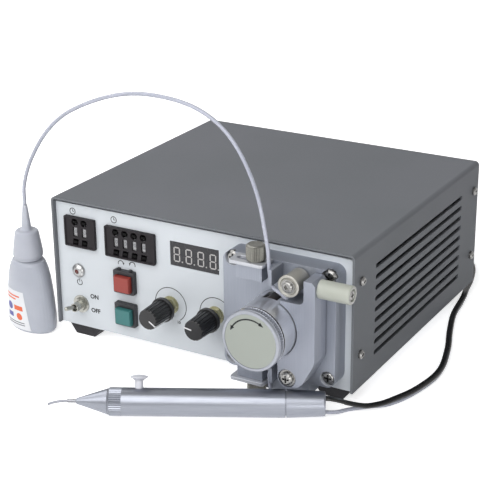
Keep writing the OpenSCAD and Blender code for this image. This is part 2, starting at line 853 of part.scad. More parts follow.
module upper_slide_plate() {
    color(alu) slide_plate(upper_slide_z);
}

module lower_slide_plate() {
    color(alu) slide_plate(lower_slide_z);
}

// Thumb screw with its head on local Z = 0 and the stud below
module thumb_screw() {
    cylinder(h = 1, d = thumb_d - 1);
    translate([0, 0, 0.9]) knurled(thumb_d / 2, thumb_h - 1.7, 36, 0.35);
    translate([0, 0, thumb_h - 0.8]) cylinder(h = 0.8, d1 = thumb_d - 0.9, d2 = thumb_d - 2.4);
    translate([0, 0, -slide_t - 7.5]) cylinder(h = slide_t + 8, d = stud_d);
}

module upper_thumb_screw() {
    color(steel)
    translate([thumb_x, thumb_y, upper_slide_z + slide_t + 0.2]) thumb_screw();
}

module lower_thumb_screw() {
    color(steel)
    translate([thumb_x, thumb_y, lower_slide_z - 0.2]) rotate([180, 0, 0]) thumb_screw();
}

// Rotor drum with three roller pockets, each with its roller pin across
module rotor() {
    pocket = roller_len + 2 * play;
    color(alu)
    front(rotor_x, rotor_z, drum_y) {
        difference() {
            cylinder(h = drum_len, r = drum_r, $fn = 96);
            translate([0, 0, -1]) cylinder(h = drum_len + 2, d = shaft_d);
            for (k = [0:roller_count - 1])
                rotate([0, 0, 90 + k * 360 / roller_count])
                    translate([roller_at - roller_r - 1, -roller_r - 1, roller_mid - pocket / 2])
                        cube([20, 2 * roller_r + 2, pocket]);
        }
        for (k = [0:roller_count - 1])
            rotate([0, 0, 90 + k * 360 / roller_count])
                translate([roller_at, 0, roller_mid - pocket / 2 - 1]) cylinder(h = pocket + 2, d = 3);
    }
}

module roller(k) {
    color([0.5, 0.38, 0.32])
    front(rotor_x, rotor_z, drum_y)
        rotate([0, 0, 90 + k * 360 / roller_count])
            translate([roller_at, 0, roller_mid - roller_len / 2])
                difference() {
                    cylinder(h = roller_len, r = roller_r);
                    translate([0, 0, -1]) cylinder(h = roller_len + 2, d = 3 + 2 * fit);
                }
}

module rotor_shaft() {
    color(steel)
    front(rotor_x, rotor_z, panel_back + 36)
        cylinder(h = panel_back + 36 - hand_y + 4, d = shaft_d);
}

// Hand knob: neck, knurled rim, turned front edge and a shallow seat for the arrow disc
module rotor_knob() {
    color(alu)
    front(rotor_x, rotor_z, hand_y)
        difference() {
            union() {
                cylinder(h = 1, r = hand_r - 3.5);
                translate([0, 0, 0.9]) cylinder(h = 0.6, r = hand_r);
                translate([0, 0, 1.4]) knurled(hand_r - 0.03, 4.2, 80, 0.4);
                translate([0, 0, 5.5]) cylinder(h = hand_t - 6.3, r = hand_r);
                translate([0, 0, hand_t - 0.8]) cylinder(h = 0.8, r1 = hand_r, r2 = hand_r - 0.8);
            }
            translate([0, 0, hand_t - 0.4]) cylinder(h = 1, r = hand_r - 1.9);
            translate([0, 0, -1]) cylinder(h = 5, d = shaft_d);
            rotate([0, 0, 112]) translate([hand_r - 3, 0, 3.6]) rotate([0, 90, 0]) cylinder(h = 6, d = 2.6);
        }
    color(chrome)
    front(rotor_x, rotor_z, hand_y)
        rotate([0, 0, 112]) translate([hand_r - 3, 0, 3.6]) rotate([0, 90, 0])
            difference() {
                cylinder(h = 3.4, d = 2.6);
                translate([0, 0, 2.2]) cylinder(h = 3, d = 1.3, $fn = 6);
            }
}

arm_right = 97.2;
arm_top = 88.8;
arm_neck = 89.8;                     // left edge of the narrow top
arm_step = 73.6;                     // floor of the notch under the guide post
arm_end_r = 6.3;
handle_z = 83;
pivot_d = 5;

// Flat outline of the pressure arm, X and height
module arm_shape() {
    difference() {
        union() {
            polygon([[arm_right, arm_top - 2], [arm_right - 2, arm_top], [arm_neck, arm_top],
                [arm_neck, arm_step + 3.5], [arm_neck - 3.5, arm_step], [74.4, arm_step],
                [74.4, 70], [72.7, 50], [72.7, pivot_z], [pivot_x, pivot_z - arm_end_r],
                [86.5, 19.6], [89.3, 22.3], [96.4, 35.4], [arm_right, 38]]);
            translate([pivot_x, pivot_z]) circle(arm_end_r);
            translate([arm_neck - 3.5, arm_step]) square([3.5, 3.5]);
        }
        translate([arm_neck - 3.5, arm_step + 3.5]) circle(3.5);
    }
}

// Pressure arm: thick plate with a lip round the drum and a deeper track for the tube behind it
module pump_arm() {
    color(alu)
    front(0, 0, arm_y)
        difference() {
            linear_extrude(height = arm_t) arm_shape();
            translate([rotor_x, rotor_z, -1]) cylinder(h = arm_t + 2, r = lip_r, $fn = 96);
            translate([rotor_x, rotor_z, -1]) cylinder(h = 13.2, r = track_r, $fn = 96);
            translate([pivot_x, pivot_z, -1]) cylinder(h = arm_t + 2, d = pivot_d + 2 * fit);
            translate([pivot_x, pivot_z, arm_t - 1.8]) cylinder(h = 3, d = 11.6);
        }
}

module arm_pivot() {
    color(chrome)
    front(pivot_x, pivot_z, arm_y - arm_t + 1.8) {
        translate([0, 0, 0.2]) cylinder(h = 0.8, d = 10.6);
        translate([0, 0, 1]) pan_screw(8, 2.6, pivot_d, arm_t + 10);
    }
}

// Nylon handle with the screw that holds it to the arm
module arm_handle() {
    hx = arm_right + 0.3;
    hy = arm_y - arm_t / 2;
    color(nylon)
    translate([hx, hy, handle_z]) rotate([0, 90, 0])
        difference() {
            union() {
                translate([0, 0, -0.3]) cylinder(h = handle_len - 0.3, d = handle_d);
                translate([0, 0, handle_len - 0.6]) cylinder(h = 0.6, d1 = handle_d, d2 = handle_d - 1.2);
            }
            translate([0, 0, handle_len - 2.4]) cylinder(h = 4, d = 7.4);
        }
    color(chrome)
    translate([hx + handle_len - 2.4, hy, handle_z]) rotate([0, 90, 0]) pan_screw(6.8, 2.2, 0.1, 0.1);
}

// Pen

// Local Z runs from the front end of the barrel to its rear
module pen_axis() {
    translate([pen_at[0], pen_at[1], pen_r]) rotate([0, 0, pen_turn]) rotate([0, 90, 0]) children();
}

stem_d = 5.2;

// Local Z runs up through the pen's button
module button_axis() {
    pen_axis() translate([0, 0, pen_button_at]) rotate([0, 0, -pen_roll]) rotate([0, -90, 0]) children();
}

module pen_barrel() {
    taper = barrel_len + rear_len;
    color(alu)
    difference() {
        pen_axis() {
            cylinder(h = 0.8, r1 = pen_r - 0.9, r2 = pen_r - 0.3);
            translate([0, 0, 0.7]) knurled(pen_r - 0.03, 8.2, 60, 0.25);
            translate([0, 0, 8.8]) cylinder(h = barrel_len - 8.8, r = pen_r);
            translate([0, 0, barrel_len - e]) cylinder(h = 2, r = pen_r - 1.2);
            translate([0, 0, barrel_len + 0.6])
                cylinder(h = rear_len - 1.6, r1 = pen_r, r2 = rear_d / 2 + 0.1);
            translate([0, 0, taper - 1]) cylinder(h = 1, r1 = rear_d / 2 + 0.1, r2 = rear_d / 2 - 0.4);
        }
        button_axis() translate([0, 0, -3]) cylinder(h = 20, d = stem_d + 2 * play);
    }
}

module pen_nose() {
    color(alu)
    pen_axis() mirror([0, 0, 1]) {
        cylinder(h = nose_len - 0.5, r1 = pen_r - 0.7, r2 = 1.9);
        translate([0, 0, nose_len - 0.6]) cylinder(h = 0.6, r1 = 1.9, r2 = 1.6);
    }
}

module pen_tip() {
    color(steel)
    pen_axis() mirror([0, 0, 1]) translate([0, 0, nose_len]) cylinder(h = 5.5, r = 1.2);
    color(nylon)
    pen_axis() mirror([0, 0, 1]) translate([0, 0, nose_len + 5.5]) cylinder(h = 12, r = 0.8);
}

// Pen button: stem with a thin round cap, domed above and dished below
module pen_button() {
    lift = 4.6;
    rim_r = pen_button_d / 2;
    color(alu)
    button_axis() {
        difference() {
            translate([0, 0, 1.5]) cylinder(h = pen_r + lift - 1.5 + e, d = stem_d);
            translate([-5, 0, pen_r + 2.4]) rotate([0, 90, 0]) cylinder(h = 10, d = 1.6);
        }
        translate([0, 0, pen_r + lift]) rotate_extrude()
            polygon([[0, 0], [stem_d / 2 + 0.6, 0], [rim_r - 1.6, 0.7], [rim_r - 0.2, 1.5],
                [rim_r, 1.8], [rim_r - 0.2, 2.1], [rim_r - 1.6, 2.6], [rim_r - 3.4, 3], [0, 3.3]]);
    }
}

// Bottle

// Half widths of the oval body at its rings: height, along, across
function body_rings(o) = [
    [o, bottle_a - 3.4 - o, bottle_b - 3 - o],
    [o + 0.8, bottle_a - 1.6 - o, bottle_b - 1.4 - o],
    [o + 2.4, bottle_a - 0.5 - o, bottle_b - 0.4 - o],
    [o + 5, bottle_a - o, bottle_b - o],
    [bottle_h - 40, bottle_a - o, bottle_b - o],
    [bottle_h - 30, bottle_a - 0.8 - o, bottle_b - 0.2 - o],
    [bottle_h - 20, bottle_a - 2 - o, bottle_b - 0.6 - o],
    [bottle_h - 13, bottle_a - 3.4 - o, bottle_b - 1 - o],
    [bottle_h - 8, bottle_a - 4.8 - o, bottle_b - 1.6 - o],
    [bottle_h - 4, bottle_a - 6.6 - o, bottle_b - 2.4 - o],
    [bottle_h - 2.2, bottle_a - 8 - o, bottle_b - 3.1 - o],
    [cap_z - 0.5, neck_r + 1.6 - o, neck_r + 1.4 - o],
    [cap_z - 0.3, neck_r - o, neck_r - o],
    [cap_z + neck_h + (o > 0 ? 1 : 0), neck_r - o, neck_r - o]];

module oval_body(o, n = 40) {
    rings = body_rings(o);
    m = len(rings);
    pts = [for (r = rings, i = [0:n - 1]) [r[1] * cos(i * 360 / n), r[2] * sin(i * 360 / n), r[0]]];
    sides = [for (k = [0:m - 2], i = [0:n - 1])
        [k * n + i, (k + 1) * n + i, (k + 1) * n + (i + 1) % n, k * n + (i + 1) % n]];
    polyhedron(pts, concat([[for (i = [0:n - 1]) i]], sides,
        [[for (i = [n - 1:-1:0]) (m - 1) * n + i]]));
}

module bottle_body() {
    color([0.9, 0.92, 0.95, 0.7])
    translate([bottle_x, bottle_y, 0]) rotate([0, 0, bottle_turn])
        difference() {
            oval_body(0);
            oval_body(1.2);
        }
}

// Smooth cap with a step at its lower rim, a round shoulder and a nozzle that the tube goes into
module bottle_cap() {
    r_low = 10.2;
    r_top = 8.1;
    h = bottle_cap_h;
    color([0.93, 0.94, 0.97])
    translate([bottle_x, bottle_y, cap_z])
        difference() {
            rotate_extrude($fn = 72)
                polygon([[0, 0], [r_low - 0.9, 0], [r_low - 0.7, 1.6], [r_low - 0.1, 2.2], [r_low, 2.8],
                    [r_low - 0.3, 6], [r_low - 1, 11], [r_top, h - 2.2], [r_top - 0.4, h - 0.9],
                    [r_top - 1.3, h - 0.1], [r_top - 2.4, h], [4.4, h], [3.6, h + 0.5], [3.3, h + 1.4],
                    [2.4, h + nozzle_h * 0.6], [1.6, h + nozzle_h], [0, h + nozzle_h]]);
            translate([0, 0, -1]) cylinder(h = neck_h + 1 + play, r = neck_r + play);
            translate([0, 0, neck_h]) cylinder(h = h - neck_h - 3, r1 = neck_r - 1, r2 = 3);
        }
}

// Cords

function unit(v) = v / norm(v);
function tangent(p, i) = unit(p[min(i + 1, len(p) - 1)] - p[max(i - 1, 0)]);
// Side vectors carried along the path without twist
function carry(p, i, v) = unit(v - (v * tangent(p, i)) * tangent(p, i));
function sides_of(p, i, v) =
    i == len(p) ? [] : concat([carry(p, i, v)], sides_of(p, i + 1, carry(p, i, v)));

// Tube along a path, with half width a along the side vector and half thickness b across it
module sweep(p, a, b, start, n = 8) {
    s = sides_of(p, 0, start);
    pts = [for (i = [0:len(p) - 1], k = [0:n - 1])
        p[i] + a * cos(k * 360 / n) * s[i] + b * sin(k * 360 / n) * cross(tangent(p, i), s[i])];
    m = len(p);
    walls = [for (i = [0:m - 2], k = [0:n - 1])
        [i * n + k, i * n + (k + 1) % n, (i + 1) * n + (k + 1) % n, (i + 1) * n + k]];
    polyhedron(pts, concat([[for (k = [n - 1:-1:0]) k]], walls, [[for (k = [0:n - 1]) (m - 1) * n + k]]));
}

tube_r = tube_d / 2;
tube_z = tube_r + 0.05;
cord_z = tube_d + cord_t / 2 + 0.15;

// Up from the bottle and over to the upper clamp of the pump
feed_route = [[bottle_x, bottle_y, cap_z + bottle_cap_h + nozzle_h + play], [-133.6, -97, 102],
    [-126, -97.5, 121], [-109.5, -99.3, 143.5], [-88.5, -101.7, 160], [-66.5, -104.2, 171],
    [-50, -106, 176.2], [-34, -108, 179.3], [-15.5, -110, 181], [0, -112, 180],
    [15, -113.5, 177.2], [28, -115, 172], [37, -116, 164], [45, -116.8, 154],
    [53.6, -117.8, 137.5], [59, -118.4, 119], [62, -118.7, 104], [64, -119, 92],
    [64, -119, 84], [66, -119, 78]];
// Round the rotor inside the arm's track
pump_route = [for (a = [74:-12:-70]) [rotor_x + track_mid * cos(a), tube_y, rotor_z + track_mid * sin(a)]];
// Out of the lower clamp, back under the case and round to its right side
under_route = [[67, -119, 32], [64.2, -119, 28], [64, -119, 24], [64, -119, 12],
    [64, -118.5, 7], [64, -116, 3], [64, -108, tube_z], [64, 0, tube_z], [64, 95, tube_z],
    [66, 112, tube_z], [76, 122, tube_z], [91, 122, tube_z], [101, 110, tube_z],
    [107.6, 94, tube_z], [110.8, 80, tube_z]];
// Along the right side under the cord and round to the rear end of the pen
side_route = [[113.3, 66], [115.6, 50], [119.4, 35.5], [123.6, 23], [128.1, 9.5], [133.2, -4.9],
    [137.6, -20], [140.1, -36], [139.8, -50], [137, -65], [133.5, -76.5], [129.1, -86.7]];
pen_end_route = [[124.4, -91.8, tube_z], [118.2, -97, tube_z], [112.8, -102, tube_z],
    [109.7, -105.8, 1.35], [107.9, -109.4, 1.8], [106.7, -112.8, 2.4], [105.4, -115.6, 3.1],
    [103.8, -117.7, 3.7], [101.71, -118.98, 4]];

module fluid_tube() {
    color([0.85, 0.86, 0.92])
    sweep(concat(feed_route, pump_route, under_route, [for (q = side_route) [q[0], q[1], tube_z]],
        pen_end_route), tube_r, tube_r, [0, 1, 0]);
}

// Flat cord from the pen to the coil behind the case
cord_start = [[100.93, -117.52, 12.4], [102.9, -116.4, 12.1], [105.2, -114.3, 11.1],
    [107.7, -111.7, 9.7], [111, -108.4, 7.5], [114.9, -104.9, 5.5], [119.3, -100.8, 4.2],
    [125.2, -93.8, 3.7]];
cord_end = [[110.8, 80], [107.6, 94], [104, 112], [97, 134], [86, 152], [72, 165], [54, 172.4]];

module pen_cord() {
    color(black)
    sweep(concat(cord_start, [for (i = [len(side_route) - 1:-1:0])
        [side_route[i][0], side_route[i][1], cord_z]],
        [for (q = cord_end) [q[0], q[1], cord_z]], [[36, 174.2, cord_z]]),
        cord_w / 2, cord_t / 2, [-0.46, 0.89, 0]);
}

coil_x = 30;
coil_y = 150;

module pen_cord_coil() {
    color(black)
    translate([coil_x, coil_y, 0.05])
        rotate_extrude($fn = 64) translate([coil_r, 3.6]) round_rect(9.2, 7, 1.6);
}

module pen_cord_tail() {
    color(black)
    sweep([[socket_x, plug_end, socket_z], [0, 128, 29.6], [0, 135, 27], [0.5, 140, 21],
        [1.5, 143, 14], [3, 147, 8.5], [5.5, 152, 5.5], [7.5, 158, 4.4]],
        cord_w / 2, cord_t / 2, [1, 0, 0]);
}

plug_end = 121;

module pen_plug() {
    color(black)
    back(socket_x, socket_z, rear_y + 1.9) {
        cylinder(h = 12, d = 13);
        translate([0, 0, 12]) cylinder(h = 6, d1 = 13, d2 = 7.5);
        translate([0, 0, 18]) cylinder(h = plug_end - rear_y - 1.9 - 18, d = 7.5);
        translate([0, 0, -8]) cylinder(h = 8.5, d = 9.4);
    }
}

chassis();
front_panel();
rear_panel();
top_cover();
case_screws();
rubber_feet();
rear_sockets();
control_board();
display_module();
pushwheel_frames();
power_led();
toggle_switch();
button_housings();
potentiometers();
pump_plate();
pump_screws();
pump_motor();
clamp_blocks();
guide_post();
arm_pivot();
rotor();
rotor_shaft();
roller(0);  // roller_1
roller(1);  // roller_2
roller(2);  // roller_3
rotor_knob();
pump_arm();
arm_handle();
upper_slide_plate();
lower_slide_plate();
upper_thumb_screw();
lower_thumb_screw();
toggle_lever();
red_button();
green_button();
dispense_knob();
vacuum_knob();
digit_wheel(1);  // digit_wheel_1
digit_wheel(2);  // digit_wheel_2
digit_wheel(3);  // digit_wheel_3
digit_wheel(4);  // digit_wheel_4
digit_wheel(5);  // digit_wheel_5
digit_wheel(6);  // digit_wheel_6
digit_key(1);  // digit_key_1
digit_key(2);  // digit_key_2
digit_key(3);  // digit_key_3
digit_key(4);  // digit_key_4
digit_key(5);  // digit_key_5
digit_key(6);  // digit_key_6
pen_barrel();
pen_nose();
pen_tip();
pen_button();
bottle_body();
bottle_cap();
fluid_tube();
pen_cord();
pen_cord_coil();
pen_cord_tail();
pen_plug();
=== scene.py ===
import bpy
import json
import math
from mathutils import Matrix, Vector

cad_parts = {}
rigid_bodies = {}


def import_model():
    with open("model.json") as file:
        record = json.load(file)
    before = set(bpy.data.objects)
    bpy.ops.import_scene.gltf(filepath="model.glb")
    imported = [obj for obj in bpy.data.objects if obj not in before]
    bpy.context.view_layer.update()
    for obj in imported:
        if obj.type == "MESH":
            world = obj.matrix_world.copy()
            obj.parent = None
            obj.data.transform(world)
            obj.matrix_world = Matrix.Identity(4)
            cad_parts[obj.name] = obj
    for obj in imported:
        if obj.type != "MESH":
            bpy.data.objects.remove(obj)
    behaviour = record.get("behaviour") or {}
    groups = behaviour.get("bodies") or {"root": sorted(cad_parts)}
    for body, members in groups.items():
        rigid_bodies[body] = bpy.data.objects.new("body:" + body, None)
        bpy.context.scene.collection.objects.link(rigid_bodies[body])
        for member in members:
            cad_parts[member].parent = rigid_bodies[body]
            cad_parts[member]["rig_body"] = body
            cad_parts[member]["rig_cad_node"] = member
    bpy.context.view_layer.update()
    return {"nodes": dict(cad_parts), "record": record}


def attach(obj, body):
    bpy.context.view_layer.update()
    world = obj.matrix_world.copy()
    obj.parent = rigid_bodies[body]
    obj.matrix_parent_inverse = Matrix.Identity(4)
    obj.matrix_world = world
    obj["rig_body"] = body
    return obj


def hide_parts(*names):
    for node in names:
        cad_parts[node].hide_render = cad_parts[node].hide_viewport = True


# Glue dispensing machine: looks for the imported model. Metres, same frame as the model.

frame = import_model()
nodes = frame["nodes"]
bodyOf = {n: b for b, members in frame["record"]["behaviour"]["bodies"].items() for n in members}
mm = 0.001
print("frame loaded:", len(nodes), "nodes")

# Camera

photoCamera = {
    "imageSide": 500,
    "focalPixels": 1384.727,
    "azimuth": 29.781,
    "elevation": 21.839,
    "roll": -0.514,
    "distance": 967.473,
    "shiftRight": -15.470,
    "shiftUp": 35.123,
    "aimHeight": 9.0,
}


def makeCamera(c):
    azimuth, elevation, roll = (math.radians(c[k]) for k in ("azimuth", "elevation", "roll"))
    back = Vector((
        math.sin(azimuth) * math.cos(elevation),
        -math.cos(azimuth) * math.cos(elevation),
        math.sin(elevation),
    ))
    level = Vector((math.cos(azimuth), math.sin(azimuth), 0))
    upright = back.cross(level)
    right = level * math.cos(roll) + upright * math.sin(roll)
    up = upright * math.cos(roll) - level * math.sin(roll)
    place = back * c["distance"] + right * c["shiftRight"] + up * c["shiftUp"]
    place.z += c["aimHeight"]
    bpy.ops.object.camera_add()
    camera = bpy.context.object
    camera.name = "photoCamera"
    camera.data.lens = c["focalPixels"] / c["imageSide"] * camera.data.sensor_width
    camera.data.clip_start = 0.05
    camera.data.clip_end = 20
    camera.matrix_world = Matrix((
        (right.x, up.x, back.x, place.x * mm),
        (right.y, up.y, back.y, place.y * mm),
        (right.z, up.z, back.z, place.z * mm),
        (0, 0, 0, 1),
    ))
    bpy.context.scene.camera = camera


makeCamera(photoCamera)
print("camera placed")

# Tools used all over


def camel(name):
    # pump_plate becomes pumpPlate
    first, *others = name.split("_")
    return first + "".join(word.title() for word in others)


def only(obj):
    if bpy.context.mode != "OBJECT":
        bpy.ops.object.mode_set(mode="OBJECT")
    bpy.ops.object.select_all(action="DESELECT")
    obj.select_set(True)
    bpy.context.view_layer.objects.active = obj


def named(name):
    piece = bpy.context.object
    piece.name = piece.data.name = name
    return piece


def editing(obj, everything=True):
    only(obj)
    bpy.ops.object.mode_set(mode="EDIT")
    bpy.ops.mesh.select_all(action="SELECT" if everything else "DESELECT")


def done(outwards=True):
    if outwards:
        bpy.ops.mesh.select_all(action="SELECT")
        bpy.ops.mesh.normals_make_consistent(inside=False)
    bpy.ops.object.mode_set(mode="OBJECT")


def pickFaces(obj, test):
    # enters edit mode with only those faces chosen whose middle and normal pass the test
    editing(obj, False)
    bpy.ops.mesh.select_mode(type="FACE")
    bpy.ops.object.mode_set(mode="OBJECT")
    for face in obj.data.polygons:
        face.select = test(face.center / mm, face.normal)
    bpy.ops.object.mode_set(mode="EDIT")


def pickEdges(obj, test):
    # the same for edges, by their two ends
    editing(obj, False)
    bpy.ops.mesh.select_mode(type="EDGE")
    bpy.ops.object.mode_set(mode="OBJECT")
    points = obj.data.vertices
    for edge in obj.data.edges:
        a, b = (points[i].co / mm for i in edge.vertices)
        edge.select = test(a, b)
    bpy.ops.object.mode_set(mode="EDIT")


def pickPoints(obj, test):
    # the same for points, by their place
    editing(obj, False)
    bpy.ops.mesh.select_mode(type="VERT")
    bpy.ops.object.mode_set(mode="OBJECT")
    for point in obj.data.vertices:
        point.select = test(point.co / mm)
    bpy.ops.object.mode_set(mode="EDIT")


def applied(obj, kind, **settings):
    only(obj)
    step = obj.modifiers.new(kind.title(), kind)
    for key, value in settings.items():
        setattr(step, key, value)
    bpy.ops.object.modifier_apply(modifier=step.name)
    return obj


def settled(obj):
    # its place goes into the mesh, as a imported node's does
    only(obj)
    bpy.ops.object.transform_apply(location=True, rotation=True, scale=True)
    return obj


def smoothed(obj, angle=35):
    only(obj)
    bpy.ops.object.shade_smooth_by_angle(angle=math.radians(angle))
    return obj


def dressed(obj, material):
    obj.data.materials.clear()
    obj.data.materials.append(material)
    return obj


def joined(name, pieces):
    bpy.ops.object.select_all(action="DESELECT")
    for piece in pieces:
        piece.select_set(True)
    bpy.context.view_layer.objects.active = pieces[0]
    if len(pieces) > 1:
        bpy.ops.object.join()
    return named(name)


def copied(obj, name):
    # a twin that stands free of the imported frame
    twin = obj.copy()
    twin.data = obj.data.copy()
    bpy.context.collection.objects.link(twin)
    twin.name = twin.data.name = name
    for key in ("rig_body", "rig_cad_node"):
        if key in twin:
            del twin[key]
    twin.parent = None
    twin.matrix_world = Matrix()
    return twin


def around(x, y, radius, degrees):
    # the point at that angle on a circle
    angle = math.radians(degrees)
    return x + radius * math.cos(angle), y + radius * math.sin(angle)


def placed(obj, at=(0, 0, 0), turn=(0, 0, 0)):
    # turned by so many degrees about X, Y and Z, then moved
    obj.rotation_euler = [math.radians(a) for a in turn]
    obj.location = [v * mm for v in at]
    return settled(obj)


def onFront(obj, x=0, y=0, z=0, roll=0):
    # what is drawn flat, with its own Z upwards, turns to face the front
    return placed(obj, (x, y, z), (90, -roll, 0))


def block(name, wide, deep, high, at=(0, 0, 0)):
    bpy.ops.object.select_all(action="DESELECT")
    bpy.ops.mesh.primitive_cube_add(size=1, scale=[v * mm for v in (wide, deep, high)],
                                    location=[v * mm for v in at])
    return settled(named(name))


def pierced(obj, radius, depth, place=Matrix()):
    # a round hole cut through the piece along the place's own Z
    bpy.ops.object.select_all(action="DESELECT")
    bpy.ops.mesh.primitive_cylinder_add(vertices=32, radius=radius * mm, depth=depth * mm)
    hole = bpy.context.object
    hole.matrix_world = place
    applied(obj, "BOOLEAN", operation="DIFFERENCE", object=hole, solver="EXACT")
    bpy.data.objects.remove(hole)


def turned(name, steps, sides=64):
    # a disc drawn up along Z through steps of height and radius
    height, radius = steps[0]
    bpy.ops.object.select_all(action="DESELECT")
    bpy.ops.mesh.primitive_circle_add(vertices=sides, radius=radius * mm, fill_type="NGON")
    piece = named(name)
    editing(piece)
    bpy.ops.transform.translate(value=(0, 0, height * mm))
    for nextHeight, nextRadius in steps[1:]:
        bpy.ops.mesh.extrude_region_move(
            TRANSFORM_OT_translate={"value": (0, 0, (nextHeight - height) * mm)})
        share = nextRadius / radius
        bpy.ops.transform.resize(value=(share, share, 1), center_override=(0, 0, nextHeight * mm))
        height, radius = nextHeight, nextRadius
    done()
    return piece


def knurled(piece, sides, low, high, share):
    # between two heights every other line of points is drawn in
    perTurn = sides / math.tau
    pickPoints(piece, lambda c: low < c.z < high and round(math.atan2(c.y, c.x) * perTurn) % 2 == 1)
    bpy.ops.transform.resize(value=(share, share, 1), center_override=(0, 0, 0))
    done()


def ridden(obj, body, replaces=()):
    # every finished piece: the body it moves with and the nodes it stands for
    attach(obj, body)
    if replaces:
        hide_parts(*replaces)
    return obj


def stoodFor(piece, nodeName):
    # the piece looks like the imported node that it replaces and rides with its body, and that node is hidden
    dressed(piece, finishes[finishOf[nodeName]])
    return ridden(piece, bodyOf[nodeName], [nodeName])


# Materials


class Wiring:
    # what materials and the world share: nodes that are added and joined

    def __init__(self, owner):
        owner.use_nodes = True
        self.tree = owner.node_tree

    def add(self, kind, inputs=None, **settings):
        # each input gets a constant or another node's output
        node = self.tree.nodes.new(kind)
        for key, value in settings.items():
            setattr(node, key, value)
        for socket, value in (inputs or {}).items():
            if hasattr(value, "is_output"):
                self.join(value, node.inputs[socket])
            else:
                node.inputs[socket].default_value = value
        return node

    def join(self, start, end):
        self.tree.links.new(start, end)

    def sums(self, operation, first, second):
        return self.add("ShaderNodeMath", {0: first, 1: second}, operation=operation).outputs[0]

    def spread(self, value, low, high, fromLow=0.3, fromHigh=0.7):
        limits = {"From Min": fromLow, "From Max": fromHigh, "To Min": low, "To Max": high}
        return self.add("ShaderNodeMapRange", {**limits, "Value": value}).outputs["Result"]


class Finish(Wiring):
    # a principled material with the few nodes that every finish here starts from

    def __init__(self, name, roughness=0.5, metallic=0.0, specular=0.5):
        self.material = bpy.data.materials.new(name)
        super().__init__(self.material)
        self.shader = self.tree.nodes["Principled BSDF"]
        self.shader.inputs["Metallic"].default_value = metallic
        self.shader.inputs["Roughness"].default_value = roughness
        self.shader.inputs["Specular IOR Level"].default_value = specular
        self.place = self.add("ShaderNodeTexCoord").outputs["Object"]

    def mapped(self, scale=(1, 1, 1), turn=(0, 0, 0)):
        angles = [math.radians(a) for a in turn]
        inputs = {"Rotation": angles, "Scale": [1 / v for v in scale], "Vector": self.place}
        return self.add("ShaderNodeMapping", inputs, vector_type="TEXTURE").outputs["Vector"]

    def noise(self, scale, detail=3, vector=None):
        inputs = {"Scale": scale, "Detail": detail, "Vector": vector or self.place}
        return self.add("ShaderNodeTexNoise", inputs).outputs["Fac"]

    def ramp(self, value, stops):
        node = self.add("ShaderNodeValToRGB", {"Fac": value})
        for point, (position, colour) in zip(node.color_ramp.elements, stops):
            point.position = position
            point.color = (*colour, 1)
        return node.outputs["Color"]

    def mixed(self, share, under, over):
        # a plain colour laid over another node's colour by its share
        return self.add("ShaderNodeMix", {0: share, 6: under, 7: (*over, 1)}, data_type="RGBA").outputs[2]

    def coloured(self, value, first, second, low=0.35, high=0.65):
        stops = [(low, linear(first)), (high, linear(second))]
        self.join(self.ramp(value, stops), self.shader.inputs["Base Color"])

    def rough(self, value, low, high):
        self.join(self.spread(value, low, high), self.shader.inputs["Roughness"])

    def bumped(self, value, height, strength=0.3):
        node = self.add("ShaderNodeBump", {"Strength": strength, "Distance": height, "Height": value})
        self.join(node.outputs["Normal"], self.shader.inputs["Normal"])


def linear(code):
    # a screen colour such as 6a6e70 as linear light
    parts = [int(code[i:i + 2], 16) / 255 for i in (0, 2, 4)]
    return tuple(p / 12.92 if p <= 0.04045 else ((p + 0.055) / 1.055) ** 2.4 for p in parts)


def paint(name, first, second, grain, roughness, specular=0.5):
    f = Finish(name, specular=specular)
    fine = f.noise(grain)
    f.coloured(f.noise(9, 2), first, second)
    f.rough(fine, *roughness)
    f.bumped(fine, 0.00003, 0.2)
    return f.material


def plastic(name, first, second, roughness=(0.35, 0.5), specular=0.5):
    f = Finish(name, specular=specular)
    fine = f.noise(900, 2)
    f.coloured(f.noise(60), first, second)
    f.rough(fine, *roughness)
    f.bumped(fine, 0.00002, 0.15)
    return f.material


def metal(name, first, second, stretch, grain, roughness, metallic=1.0, height=0.000004, turn=(0, 0, 0)):
    # fine lines run along the direction with the smallest stretch
    f = Finish(name, metallic=metallic)
    lines = f.noise(grain, 2, f.mapped(stretch, turn))
    f.coloured(lines, first, second, 0.3, 0.7)
    f.rough(lines, *roughness)
    f.bumped(lines, height, 0.1)
    return f.material


def milky(name, first, second, depth, roughness=(0.3, 0.4)):
    # soft plastic that light goes a little way into
    f = Finish(name)
    f.coloured(f.noise(40, 2), first, second)
    f.rough(f.noise(500, 2), *roughness)
    f.shader.inputs["Subsurface Weight"].default_value = 0.35
    f.shader.inputs["Subsurface Radius"].default_value = (1, 1, 1)
    f.shader.inputs["Subsurface Scale"].default_value = depth
    return f.material


